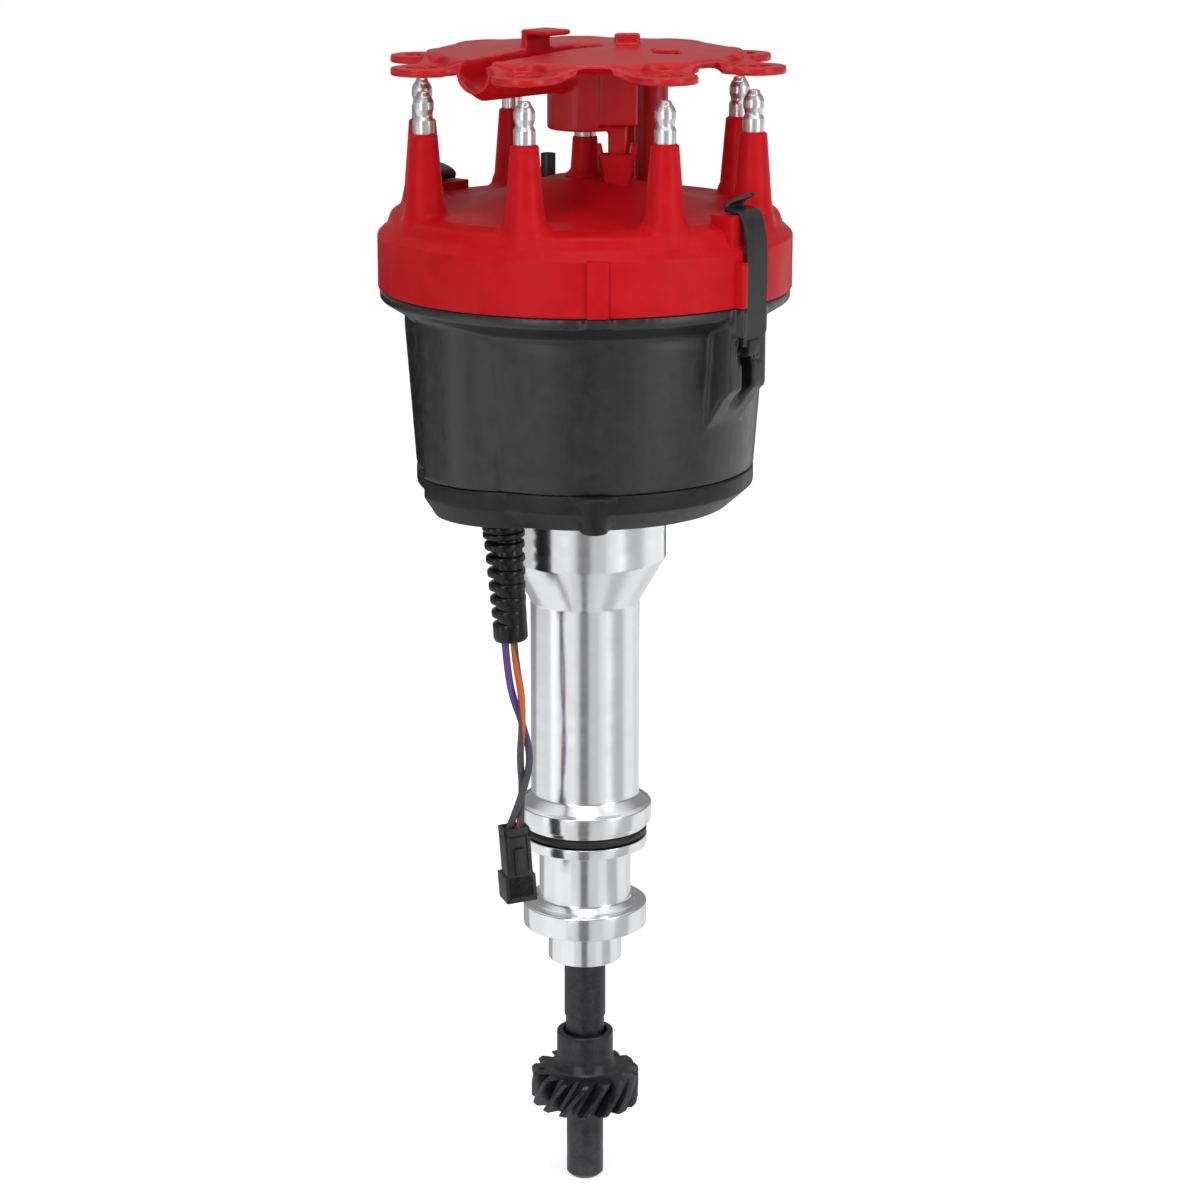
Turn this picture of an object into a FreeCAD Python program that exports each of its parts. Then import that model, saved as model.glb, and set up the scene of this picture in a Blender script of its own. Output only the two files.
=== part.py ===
import FreeCAD, Part
import math
import os
from FreeCAD import Vector

# Ignition distributor for a V8 engine, in millimetres.
# The origin is on the shaft axis, in the plane of the shoulder that sits on the engine block.
# +Z runs up the shaft to the cap. Angles are measured from the front rib (-Y) towards +X.

os.makedirs("parts", exist_ok=True)

ORIGIN = Vector(0, 0, 0)
AXIS = Vector(0, 0, 1)

# General clearances
RUNNING_GAP = 0.05       # radial, between a shaft and its bush
PART_GAP = 0.3           # between pieces that pass each other
SEAT_GAP = 0.2           # radial, between pieces that locate in each other
CUT_PAST = 2.0           # how far a cut runs past the face it opens

# Housing, turned from bar
PILOT_R = 20.2
PILOT_DEPTH = 36.0
PILOT_RING_H = 7.7
UPPER_LAND_H = 8.5
UNDERCUT_R = 14.95
UNDERCUT_STEP = 1.2
NOSE_R = 12.0
NOSE_H = 12.0
COLLAR_R = 21.6
COLLAR_H = 5.6
COLLAR_STEP_R = 20.4
COLLAR_TOP_H = 9.4
TUBE_R = 17.5
CONE_START_Z = 73.5
HEAD_Z = 88.0
HEAD_R = 25.8
FLANGE_R = 49.4
FLANGE_H = 5.0
HOUSING_BORE_R = 9.0
EDGE_BREAK = 0.6

# O-ring in the upper land
RING_SECTION_R = 1.55
RING_CENTRE_DEPTH = 3.3
RING_GAP = 0.1
RING_SIDES = 6

# Drive shaft and its bearings
SHAFT_R = 6.79
GEAR_SEAT_R = 6.36
TIP_R = 6.1
TIP_CHAMFER = 1.2
TIP_DEPTH = 125.7
SOCKET_FLATS = 7.94
SOCKET_DEPTH = 16.0
BUSHING_H = 24.0
BUSHING_INSET = 1.0
BEARING_BORE_R = 7.5
BEARING_R = 17.5
BEARING_H = 11.0
BALL_R = 3.0
BALL_COUNT = 9
BALL_SIDES = 8
BALL_LATITUDES = (-67.5, -22.5, 22.5, 67.5)
RACE_LAND = 1.5
RETAINER_BORE_R = 14.5
RETAINER_R = 26.0
RETAINER_PLATE_H = 1.5
RETAINER_SCREW_CIRCLE_R = 22.0
RETAINER_SCREW_ANGLES = (30.0, 150.0, 270.0)
SMALL_SCREW_R = 1.5
SMALL_SCREW_DEPTH = 4.0
SMALL_HEAD_FLATS = 5.0
SMALL_HEAD_H = 1.6
SHAFT_SHOULDER_R = 9.6
SHAFT_SHOULDER_H = 2.4
PIVOT_R = 6.0
SHAFT_RELIEF_H = 5.6

# Helical drive gear with its hub
GEAR_TEETH = 15
GEAR_TIP_R = 17.8
GEAR_TOOTH_DEPTH = 4.3
GEAR_H = 11.6
GEAR_TIP_SHARE = 0.13
GEAR_ROOT_SHARE = 0.36
GEAR_CHAMFER = 0.8
GEAR_HELIX = 37.0
GEAR_BOTTOM_DEPTH = 99.2
HUB_R = 9.3
HUB_H = 13.6
HUB_FILLET = 1.5
ROLL_PIN_R = 2.4
ROLL_PIN_WALL = 1.2
ROLL_PIN_INSET = 0.4

# Moulded base: lower cover and shell
COVER_BOTTOM_Z = 106.5
COVER_H = 12.5
COVER_R = 53.2
COVER_RIM_H = 5.6
COVER_FOOT_R = 45.5
COVER_WALL = 3.0
BOSS_RADIUS = 45.4
BOSS_R = 4.6
BOSS_NECK_R = 5.4
BOSS_FLARE_R = 8.2
BOSS_FLARE_H = 4.2
BOSS_TOP_IN = 2.0
BOSS_SCREW_R = 2.0
BOSS_ANGLES = (0.0, 120.0, 240.0)
SCREW_HEAD_R = 3.4
SCREW_HEAD_H = 2.2
SCREW_HEAD_SINK = 3.0
SCREW_SLOT_W = 1.0
SCREW_SLOT_H = 1.0
SHELL_WALL = 2.8
SHELL_FLOOR = 3.4
SHELL_BODY_TOP_Z = 163.0
SHELL_FLARE_H = 4.0
SHELL_FLARE_IN = 7.6
SHELL_RIM_Z = 175.0
SHELL_RIM_IN = 0.5
SHELL_RIM_H = 3.2
LEAD_ANGLE = -45.5
LEAD_RADIUS = 37.8
LEAD_SLOT_GAP = 1.0
BULGE_ANGLE = -55.0
BULGE_CUT_ANGLE = -63.0
BULGE_CENTRE = 28.6
BULGE_R = 29.6
BULGE_FOOT_IN = 4.6
BULGE_SPREAD = 2.4

# Cap
CAP_R = 64.5
CAP_SKIRT_TOP_Z = 191.6
CAP_SHOULDER_IN = 3.3
CAP_SHOULDER_RISE = 3.0
CAP_KNEE_IN = 1.1
CAP_KNEE_DROP = 1.5
CAP_DECK_IN = 9.0
CAP_DECK_Z = 199.8
CAP_WALL = 3.2
CAP_HILL_R = 29.0
CAP_HILL_TOP_R = 11.0
CAP_HILL_TOP_Z = 209.6
CAP_SPIGOT_H = 2.6
CAP_SPIGOT_T = 1.6
CAP_RIB_W = 6.4
CAP_RIB_PROUD = 1.4
RIM_TAB_W = 8.0
KEEPER_WALL = 2.0
KEEPER_TOP_Z = 222.0
VENT_R = 2.1
VENT_H = 9.2
VENT_WALL = 0.7
VENT_STEM_R = 1.5
VENT_BASE_Z = 203.2
VENT_PLACE = Vector(-12.0, 22.0, 0)

# Towers and their terminals
TOWER_COUNT = 8
TOWER_CIRCLE_IN = 10.5
TOWER_SIDES = 20
TOWER_BASE_R = 6.6
TOWER_TOP_R = 4.2
TOWER_TOP_Z = 224.4
TERMINAL_R = 3.35
TERMINAL_NECK_R = 2.65
TERMINAL_HEAD_R = 3.1
TERMINAL_TIP_R = 1.6
TERMINAL_H = 12.6
TERMINAL_FOOT_H = 3.6
TERMINAL_SLOPE_H = 2.0
TERMINAL_BEAD_H = 2.6
TERMINAL_STEM_R = 2.2
CONTACT_BOTTOM_Z = 178.0
CONTACT_TOP_Z = 194.4
CONTACT_HALF_W = 2.6
CONTACT_INSET = 3.2
CONTACT_DEPTH = 4.8
COIL_TOWER_TOP_Z = 221.0
COIL_TOWER_R = 4.3
COIL_TOWER_BASE_R = 4.8
BRUSH_R = 2.4
BRUSH_H = 10.2
BRUSH_CLEARANCE = 0.1
BRUSH_TIP_H = 1.2
BRUSH_GUIDE_R = 4.4
BRUSH_GUIDE_BOTTOM_Z = 179.0
BRUSH_SPRING_WIRE = 0.4
BRUSH_SPRING_RISE = 1.0

# Spring clips and the sockets they pivot in
CLIP_ANGLES = (48.0, -132.0)
CLIP_PIVOT_IN = 2.5
CLIP_PIVOT_Z = 160.8
CLIP_BAR_R = 1.3
CLIP_BAR_W = 9.0
CLIP_FOOT_W = 5.0
CLIP_FOOT_H = 3.2
CLIP_W = 10.2
CLIP_THICKNESS = 1.2
CLIP_HOOK_REACH = 5.0
CLIP_HOOK_GAP = 0.4
CLIP_KNEE_H = 3.0
CLIP_LEAN = 1.4
CLIP_TAB_RUN = 5.4
CLIP_TAB_H = 5.0
CLIP_TAB_TIP_X = 1.0
LUG_TOP_Z = 202.4
LUG_IN = 1.9
LUG_DEPTH = 8.2
LUG_WALL = 2.8
SOCKET_HALF_W = 9.2
SOCKET_IN = 1.1
SOCKET_ROOT = 5.8
SOCKET_ROOF = 2.0
SOCKET_EDGE = 3.2
SOCKET_SLOT_DEPTH = 3.5
SOCKET_BOTTOM_Z = 149.8
SOCKET_TIP_Z = 138.0
SOCKET_WIDE_BOTTOM_Z = 157.6
GUIDE_OUT = 2.2
GUIDE_W = 2.8
SOCKET_GUIDE_Z = 166.0
LUG_RIB_TOP_Z = 188.8

# Wire retainer
PLATE_TOP_Z = 248.8
PLATE_EDGE_DROP = 1.6
PLATE_IN = 5.4
PLATE_FLAT_R = 14.0
PLATE_BEVEL_W = 2.4
PLATE_BEVEL_H = 1.6
PLATE_WALL = 2.0
PLATE_LIP = 1.4
RIM_ARCH_R = 24.0
RIM_ARCH_RISE = 2.4
WINDOW_X = 19.6
WINDOW_Y = -8.0
WINDOW_W = 8.0
WINDOW_D = 13.0
FLANGE_BOTTOM_Z = 241.9
FLANGE_TOP_Z = 244.4
EAR_R = 9.8
EAR_HOLE_R = 5.2
EAR_POCKET_R = 7.7
CHANNEL_ANGLE = -45.0
CHANNEL_R = 5.6
CHANNEL_WALL = 1.3
CHANNEL_FLOOR_Z = 236.6
CHANNEL_MOUTH_R = 50.0
COLLAR_SLEEVE_R = 8.9
SLEEVE_WALL = 1.6
COLLAR_SLEEVE_BOTTOM_Z = 223.5
LATCH_X = 13.0
LATCH_W = 8.0
LATCH_T = 2.4
LATCH_BOTTOM_Z = 215.0
LATCH_TAB_Z = 252.4
POST_RADIUS = 36.0
POST_ANGLE = 141.0
POST_R = 5.4
BRIDGE_W = 11.0
BRIDGE_RADIUS = 15.0
BRIDGE_FOOT = 2.4
BRIDGE_SINK = 0.4
BRIDGE_T = 1.8
BRIDGE_TOP_Z = 254.4

# Mechanical advance, trigger wheel and rotor
PLATE_Z = 150.0
ADVANCE_PLATE_H = 2.6
ADVANCE_PLATE_R = 36.0
ADVANCE_PLATE_HALF = 24.0
SLEEVE_R = 9.0
WEIGHT_PIVOT_R = 26.0
WEIGHT_PIN_R = 2.2
WEIGHT_H = 4.4
WEIGHT_L = 19.0
WEIGHT_ARM_W = 7.0
WEIGHT_TAIL_W = 14.0
WEIGHT_TAIL_L = 9.0
WEIGHT_HEEL_W = 5.0
WEIGHT_HEEL_DROP = 1.6
WEIGHT_HEEL_GAP = 0.8
WEIGHT_EYE_WALL = 2.6
CAM_H = 4.4
CAM_WALL = 2.4
CAM_BAR_W = 6.0
TRIGGER_R = 21.0
TRIGGER_HUB_R = 12.5
TRIGGER_H = 7.0
TRIGGER_TOOTH_W = 3.6
TRIGGER_BOTTOM_Z = 134.0
ROTOR_Z = 163.5
ROTOR_R = 43.0
ROTOR_H = 3.4
ROTOR_TIP_GAP = 1.0
ROTOR_POST_X = 20.0
ROTOR_POST_Y = 16.0
ROTOR_POST_R = 3.4
ROTOR_SCREW_L = 8.0
ROTOR_HUB_R = 7.0
ROTOR_HUB_TOP_Z = 174.0
ROTOR_ARM_HALF_W = 5.0
ROTOR_CONTACT_T = 1.0
ROTOR_BLADE_L = 3.0
ROTOR_BLADE_H = 8.0
CAM_REACH = 12.0
SPRING_R = 1.8
SPRING_STUD_R = 1.2
SPRING_STUD_X = 9.6

# Magnetic pickup
PICKUP_ANGLE = 12.0
PICKUP_W = 16.0
PICKUP_NEAR_R = 26.5
PICKUP_FAR_R = 38.0
PICKUP_EAR_W = 6.4
PICKUP_TOP_Z = 146.0
PICKUP_FOOT_H = 2.0
PICKUP_AIR_GAP = 0.6

# Pickup lead: strain relief, two wires and their connector
RELIEF_R = 6.6
RELIEF_END_R = 5.3
RELIEF_RIBS = 8
RELIEF_GROOVE = 1.7
RELIEF_RIB_SHARE = 0.5
RELIEF_FLOOR_SHARE = 0.75
RELIEF_NECK_R = 4.6
RELIEF_SIDES = 20
WIRE_R = 1.15
LEAD_TOP = Vector(-26.9, -26.5, 104.9)
LEAD_END = Vector(-24.7, -26.6, 67.4)
CONNECTOR_TOP = Vector(-24.1, -26.6, 4.9)
CONNECTOR_AXIS = Vector(-0.071, 0, 0.9975)
CONNECTOR_L = 23.4
CONNECTOR_W = 8.6
CONNECTOR_D = 7.0
CONNECTOR_COLLAR_L = 9.0
CONNECTOR_COLLAR_W = 10.2
CONNECTOR_COLLAR_D = 9.4
CONNECTOR_LATCH_HALF_W = 1.6
CONNECTOR_LATCH_D = 1.4
CONNECTOR_LATCH_DOWN = 5.0
CONTACT_BARREL_R = 1.1
CONTACT_L = 14.0
CONTACT_SET_BACK = 2.0
CONTACT_PITCH = 3.6

VIOLET_ROUTE = (
    Vector(-26.6, -26.8, 67.4),
    Vector(-26.0, -26.8, 59.4),
    Vector(-24.6, -26.1, 49.6),
    Vector(-21.0, -25.3, 39.2),
    Vector(-18.4, -26.7, 28.6),
    Vector(-21.5, -29.0, 17.0),
    Vector(-25.9, -26.6, 4.77),
)
ORANGE_ROUTE = (
    Vector(-23.8, -26.8, 67.4),
    Vector(-23.2, -26.8, 59.4),
    Vector(-21.4, -27.9, 49.6),
    Vector(-21.4, -29.1, 39.2),
    Vector(-22.2, -27.3, 28.6),
    Vector(-21.1, -24.6, 17.0),
    Vector(-22.3, -26.6, 5.03),
)

# Levels and radii that follow from the sizes above
SHELL_RIM_R = CAP_R - SHELL_RIM_IN
SHELL_TOP_R = SHELL_RIM_R - SHELL_FLARE_IN
CAP_SHOULDER_R = CAP_R - CAP_SHOULDER_IN
CAP_DECK_R = CAP_R - CAP_DECK_IN
TOWER_CIRCLE_R = CAP_R - TOWER_CIRCLE_IN
PLATE_R = TOWER_CIRCLE_R - PLATE_IN
LUG_OUTER_R = CAP_R - LUG_IN
LUG_INNER_R = LUG_OUTER_R - LUG_DEPTH
SOCKET_R = CAP_R - SOCKET_IN
GUIDE_R = CAP_R + GUIDE_OUT
CLIP_INNER_R = CAP_R + PART_GAP
CLIP_PIVOT_R = SOCKET_R - CLIP_PIVOT_IN
CLIP_HOOK_TIP_R = LUG_OUTER_R - CLIP_HOOK_REACH
NOSE_BOTTOM_Z = -PILOT_DEPTH - NOSE_H
SEAM_Z = COVER_BOTTOM_Z + COVER_H
FLANGE_Z = SEAM_Z + SHELL_FLOOR
FLANGE_TOP = FLANGE_Z + FLANGE_H
BEARING_Z = FLANGE_TOP - BEARING_H
GEAR_BOTTOM_Z = -GEAR_BOTTOM_DEPTH
HUB_TOP_Z = GEAR_BOTTOM_Z + GEAR_H + HUB_H
SHOULDER_TOP_Z = FLANGE_TOP + SHAFT_SHOULDER_H
PLATE_TOP_LEVEL = PLATE_Z + ADVANCE_PLATE_H
CAM_Z = PLATE_TOP_LEVEL + PART_GAP
SHAFT_TOP_Z = CAM_Z + CAM_H
RETAINER_TOP_Z = FLANGE_TOP + RETAINER_PLATE_H
CONTACT_NEAR_R = TOWER_CIRCLE_R - CONTACT_INSET
CONTACT_FAR_R = CONTACT_NEAR_R + CONTACT_DEPTH
ROTOR_TIP_R = CONTACT_NEAR_R - ROTOR_TIP_GAP
ROTOR_TOP_Z = ROTOR_Z + ROTOR_H
CAP_ROOF_Z = CAP_DECK_Z - CAP_WALL
CAP_SHOULDER_Z = CAP_SKIRT_TOP_Z + CAP_SHOULDER_RISE
SPRING_TOP_Z = CAP_DECK_Z + BRUSH_SPRING_RISE
CONTACT_ARM_TOP_Z = ROTOR_HUB_TOP_Z + ROTOR_CONTACT_T
BRUSH_Z = CONTACT_ARM_TOP_Z + BRUSH_CLEARANCE
BRUSH_TOP_Z = BRUSH_Z + BRUSH_H
ROLL_PIN_Z = GEAR_BOTTOM_Z + GEAR_H + HUB_H * 0.55
WEIGHT_Z = CAM_Z
SPRING_Z = WEIGHT_Z + WEIGHT_H + SPRING_R + PART_GAP
TERMINAL_TOP_Z = TOWER_TOP_Z + TERMINAL_H
TOWER_ANGLES = tuple((i + 0.5) * 360.0 / TOWER_COUNT for i in range(TOWER_COUNT))


def save(shape, node):
    """Write one node after checking that it is sound."""
    if not shape.isValid():
        raise ValueError(node + " is not a valid shape")
    shape.exportStep("parts/" + node + ".step")
    print(node, len(shape.Solids), round(shape.Volume, 1))


def at_angle(radius, degrees, z=0.0):
    """A point at a radius, an angle from the front and a height."""
    angle = math.radians(degrees)
    return Vector(radius * math.sin(angle), -radius * math.cos(angle), z)


def turned(shape, degrees):
    """Carry a shape drawn at the front round the axis."""
    return shape.rotated(ORIGIN, AXIS, degrees)


def lathe(*corners):
    """Turn a closed (radius, height) outline round the axis."""
    points = [Vector(r, 0, z) for r, z in corners]
    return Part.Face(Part.makePolygon(points + points[:1])).revolve(ORIGIN, AXIS, 360.0)


def polygon(radius, sides, z):
    """The corners of a level polygon round the axis."""
    step = 2 * math.pi / sides
    return [Vector(radius * math.cos(i * step), radius * math.sin(i * step), z) for i in range(sides)]


def skinned(levels):
    """A solid skinned with flat triangles between level outlines of as many corners each."""
    faces = []
    for low, high in zip(levels, levels[1:]):
        for i in range(len(low)):
            j = (i + 1) % len(low)
            for corners in ((low[i], low[j], high[j]), (low[i], high[j], high[i])):
                faces.append(Part.Face(Part.makePolygon(corners + corners[:1])))
    for end in (levels[0], levels[-1]):
        faces.append(Part.Face(Part.makePolygon(end + end[:1])))
    shell = Part.makeShell(faces)
    shell.sewShape()
    solid = Part.Solid(shell)
    return solid if solid.Volume > 0 else solid.reversed()


def faceted(sides, *corners):
    """Turn an open (radius, height) outline into flat facets, for small pieces that repeat."""
    return skinned([polygon(r, sides, z) for r, z in corners]).removeSplitter()


def ring(inner, outer, bottom, top):
    """A plain ring or tube round the axis."""
    height = top - bottom
    body = Part.makeCylinder(outer, height, Vector(0, 0, bottom))
    return body.cut(Part.makeCylinder(inner, height, Vector(0, 0, bottom)))


def post(radius, bottom, top, place=ORIGIN):
    """An upright cylinder at a place in plan."""
    return Part.makeCylinder(radius, top - bottom, Vector(place.x, place.y, bottom))


def block(half_width, near, far, bottom, top, middle=0.0):
    """A box at the front: half width across, near and far radius, bottom and top."""
    corner = Vector(middle - half_width, -far, bottom)
    return Part.makeBox(2 * half_width, far - near, top - bottom, corner)


def prism(points, half_width, middle=0.0):
    """Extrude a (radius, height) outline across the front."""
    wire = Part.makePolygon([Vector(middle - half_width, -r, z) for r, z in points + points[:1]])
    return Part.Face(wire).extrude(Vector(2 * half_width, 0, 0))


def hexagon(across_flats, bottom, top):
    """An upright hexagonal prism on the axis."""
    corners = polygon(across_flats / math.sqrt(3.0), 6, bottom)
    return Part.Face(Part.makePolygon(corners + corners[:1])).extrude(Vector(0, 0, top - bottom))


def fused(first, *rest):
    """Join solids into one and drop the seams between them."""
    return first.fuse(list(rest)).removeSplitter()


def around(make, angles):
    """Copies of one piece round the axis."""
    return [turned(make, angle) for angle in angles]


# Housing: one turning with the pilot, the tube, the cone and the flange under the trigger
def housing():
    land_bottom = -UPPER_LAND_H
    ring_top = -PILOT_DEPTH + PILOT_RING_H
    groove_floor = PILOT_R - 2 * RING_SECTION_R - RING_GAP
    groove_low = -RING_CENTRE_DEPTH - RING_SECTION_R - RING_GAP
    groove_high = -RING_CENTRE_DEPTH + RING_SECTION_R + RING_GAP
    e = EDGE_BREAK
    outside = lathe(
        (0, NOSE_BOTTOM_Z), (NOSE_R, NOSE_BOTTOM_Z), (NOSE_R, -PILOT_DEPTH),
        (PILOT_R - e, -PILOT_DEPTH), (PILOT_R, -PILOT_DEPTH + e), (PILOT_R, ring_top),
        (UNDERCUT_R + UNDERCUT_STEP, ring_top), (UNDERCUT_R, ring_top + UNDERCUT_STEP),
        (UNDERCUT_R, land_bottom), (PILOT_R, land_bottom),
        (PILOT_R, groove_low), (groove_floor, groove_low),
        (groove_floor, groove_high), (PILOT_R, groove_high),
        (PILOT_R, 0), (COLLAR_R, 0), (COLLAR_R, COLLAR_H),
        (COLLAR_STEP_R, COLLAR_H + e), (TUBE_R, COLLAR_TOP_H),
        (TUBE_R, CONE_START_Z), (HEAD_R, HEAD_Z), (HEAD_R, FLANGE_Z),
        (FLANGE_R, FLANGE_Z), (FLANGE_R, FLANGE_TOP), (0, FLANGE_TOP),
    )
    bore = post(HOUSING_BORE_R, NOSE_BOTTOM_Z, FLANGE_TOP)
    seat = post(BEARING_R, BEARING_Z, FLANGE_TOP)
    slot_half = RELIEF_END_R + LEAD_SLOT_GAP
    lead_slot = post(slot_half, FLANGE_Z, FLANGE_TOP, at_angle(LEAD_RADIUS, LEAD_ANGLE))
    slot_mouth = turned(block(slot_half, LEAD_RADIUS, FLANGE_R + CUT_PAST, FLANGE_Z, FLANGE_TOP), LEAD_ANGLE)
    holes = around(post(BOSS_SCREW_R, FLANGE_Z, FLANGE_TOP, at_angle(BOSS_RADIUS, 0)), BOSS_ANGLES)
    return outside.cut([bore, seat, lead_slot, slot_mouth] + holes)


def o_ring():
    """The ring in its groove, with a six-sided section that keeps it light."""
    centre_r = PILOT_R - RING_SECTION_R - RING_GAP
    section = polygon(RING_SECTION_R, RING_SIDES, 0)
    return lathe(*[(centre_r + p.x, -RING_CENTRE_DEPTH + p.y) for p in section])


def lower_bushing():
    bottom = NOSE_BOTTOM_Z + BUSHING_INSET
    return ring(SHAFT_R + RUNNING_GAP, HOUSING_BORE_R, bottom, bottom + BUSHING_H)


# Upper ball bearing, pressed into the head of the housing
def bearing_race(seat, land, track):
    """A race with a square track, from its seat radius, land radius and track radius."""
    bottom = BEARING_Z
    top = BEARING_Z + BEARING_H
    low = (bottom + top) / 2 - BALL_R - RUNNING_GAP
    high = (bottom + top) / 2 + BALL_R + RUNNING_GAP
    return lathe((seat, bottom), (land, bottom), (land, low), (track, low),
                 (track, high), (land, high), (land, top), (seat, top))


def faceted_ball(centre):
    """A ball with flat facets, so that the nine of them stay light."""
    rings = []
    for latitude in BALL_LATITUDES:
        angle = math.radians(latitude)
        rings.append((BALL_R * math.cos(angle), BALL_R * math.sin(angle)))
    return faceted(BALL_SIDES, *rings).translated(centre)


def upper_bearing():
    centre_r = (BEARING_BORE_R + BEARING_R) / 2
    track = BALL_R + RUNNING_GAP
    inner = bearing_race(BEARING_BORE_R, centre_r - RACE_LAND, centre_r - track)
    outer = bearing_race(BEARING_R, centre_r + RACE_LAND, centre_r + track)
    ball = faceted_ball(at_angle(centre_r, 0, BEARING_Z + BEARING_H / 2))
    balls = around(ball, [i * 360.0 / BALL_COUNT for i in range(BALL_COUNT)])
    return inner, outer, Part.makeCompound(balls)


# Bearing retainer: a ring on the flange with three small screws
def bearing_retainer():
    plate = ring(RETAINER_BORE_R, RETAINER_R, FLANGE_TOP, RETAINER_TOP_Z)
    holes = around(post(SMALL_SCREW_R, FLANGE_TOP, RETAINER_TOP_Z, at_angle(RETAINER_SCREW_CIRCLE_R, 0)),
                   RETAINER_SCREW_ANGLES)
    return plate.cut(holes)


# Drive shaft, with the socket for the oil pump rod in its lower end
def shaft():
    tip_z = -TIP_DEPTH
    shank_z = HUB_TOP_Z + SHAFT_RELIEF_H
    body = lathe(
        (0, tip_z), (TIP_R - TIP_CHAMFER, tip_z), (TIP_R, tip_z + TIP_CHAMFER), (TIP_R, GEAR_BOTTOM_Z),
        (GEAR_SEAT_R, GEAR_BOTTOM_Z), (GEAR_SEAT_R, shank_z), (SHAFT_R, shank_z), (SHAFT_R, BEARING_Z),
        (BEARING_BORE_R, BEARING_Z), (BEARING_BORE_R, FLANGE_TOP),
        (SHAFT_SHOULDER_R, FLANGE_TOP), (SHAFT_SHOULDER_R, SHOULDER_TOP_Z),
        (PIVOT_R, SHOULDER_TOP_Z), (PIVOT_R, SHAFT_TOP_Z), (0, SHAFT_TOP_Z),
    )
    socket = hexagon(SOCKET_FLATS, tip_z, tip_z + SOCKET_DEPTH)
    return body.cut([socket, roll_pin_hole()])


def roll_pin_hole():
    start = Vector(-HUB_R - CUT_PAST, 0, ROLL_PIN_Z)
    return Part.makeCylinder(ROLL_PIN_R, 2 * (HUB_R + CUT_PAST), start, Vector(1, 0, 0))


def gear_roll_pin():
    start = Vector(ROLL_PIN_INSET - HUB_R, 0, ROLL_PIN_Z)
    length = 2 * (HUB_R - ROLL_PIN_INSET)
    pin = Part.makeCylinder(ROLL_PIN_R, length, start, Vector(1, 0, 0))
    return pin.cut(Part.makeCylinder(ROLL_PIN_R - ROLL_PIN_WALL, length, start, Vector(1, 0, 0)))


# Helical gear: one tooth outline, twisted up the helix, with its tips bevelled at both ends
def gear_outline(tip_r, rise):
    root_r = GEAR_TIP_R - GEAR_TOOTH_DEPTH
    pitch = 2 * math.pi / GEAR_TEETH
    twist = rise * math.tan(math.radians(GEAR_HELIX)) / GEAR_TIP_R
    corners = ((root_r, -GEAR_ROOT_SHARE), (tip_r, -GEAR_TIP_SHARE), (tip_r, GEAR_TIP_SHARE),
               (root_r, GEAR_ROOT_SHARE))
    points = []
    for tooth in range(GEAR_TEETH):
        for radius, share in corners:
            angle = (tooth + share) * pitch + twist
            points.append(Vector(radius * math.cos(angle), radius * math.sin(angle), GEAR_BOTTOM_Z + rise))
    return points


def drive_gear():
    end_r = GEAR_TIP_R - GEAR_CHAMFER
    teeth = skinned([
        gear_outline(end_r, 0), gear_outline(GEAR_TIP_R, GEAR_CHAMFER), gear_outline(GEAR_TIP_R, GEAR_H / 2),
        gear_outline(GEAR_TIP_R, GEAR_H - GEAR_CHAMFER), gear_outline(end_r, GEAR_H),
    ])
    top = GEAR_BOTTOM_Z + GEAR_H
    hub = lathe((0, top - CUT_PAST), (HUB_R + HUB_FILLET, top - CUT_PAST), (HUB_R, top + HUB_FILLET),
                (HUB_R, HUB_TOP_Z - EDGE_BREAK), (HUB_R - EDGE_BREAK, HUB_TOP_Z), (0, HUB_TOP_Z))
    bore = post(GEAR_SEAT_R, GEAR_BOTTOM_Z, HUB_TOP_Z)
    return teeth.fuse(hub).cut([bore, roll_pin_hole()])


# Lower cover: a shallow moulded dish with screw bosses, slipped over the head of the housing
def bulge(radius_bottom, radius_top, bottom, top):
    """The round swelling over the lead exit, cut off flat on its left side."""
    centre = at_angle(BULGE_CENTRE, BULGE_ANGLE, bottom)
    if radius_bottom == radius_top:
        cone = Part.makeCylinder(radius_bottom, top - bottom, centre)
    else:
        cone = Part.makeCone(radius_bottom, radius_top, top - bottom, centre)
    reach = BULGE_CENTRE + max(radius_bottom, radius_top)
    cutter = turned(block(reach / 2, 0, reach, bottom, top, middle=-reach / 2), BULGE_CUT_ANGLE)
    return cone.cut(cutter)


def cover_boss(angle):
    """A screw boss that stands down from the rim and flares out where it meets it."""
    top = SEAM_Z - BOSS_TOP_IN
    shape = lathe((0, COVER_BOTTOM_Z), (BOSS_R, COVER_BOTTOM_Z), (BOSS_NECK_R, top - BOSS_FLARE_H),
                  (BOSS_FLARE_R, top), (0, top))
    return shape.translated(at_angle(BOSS_RADIUS, angle))


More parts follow.
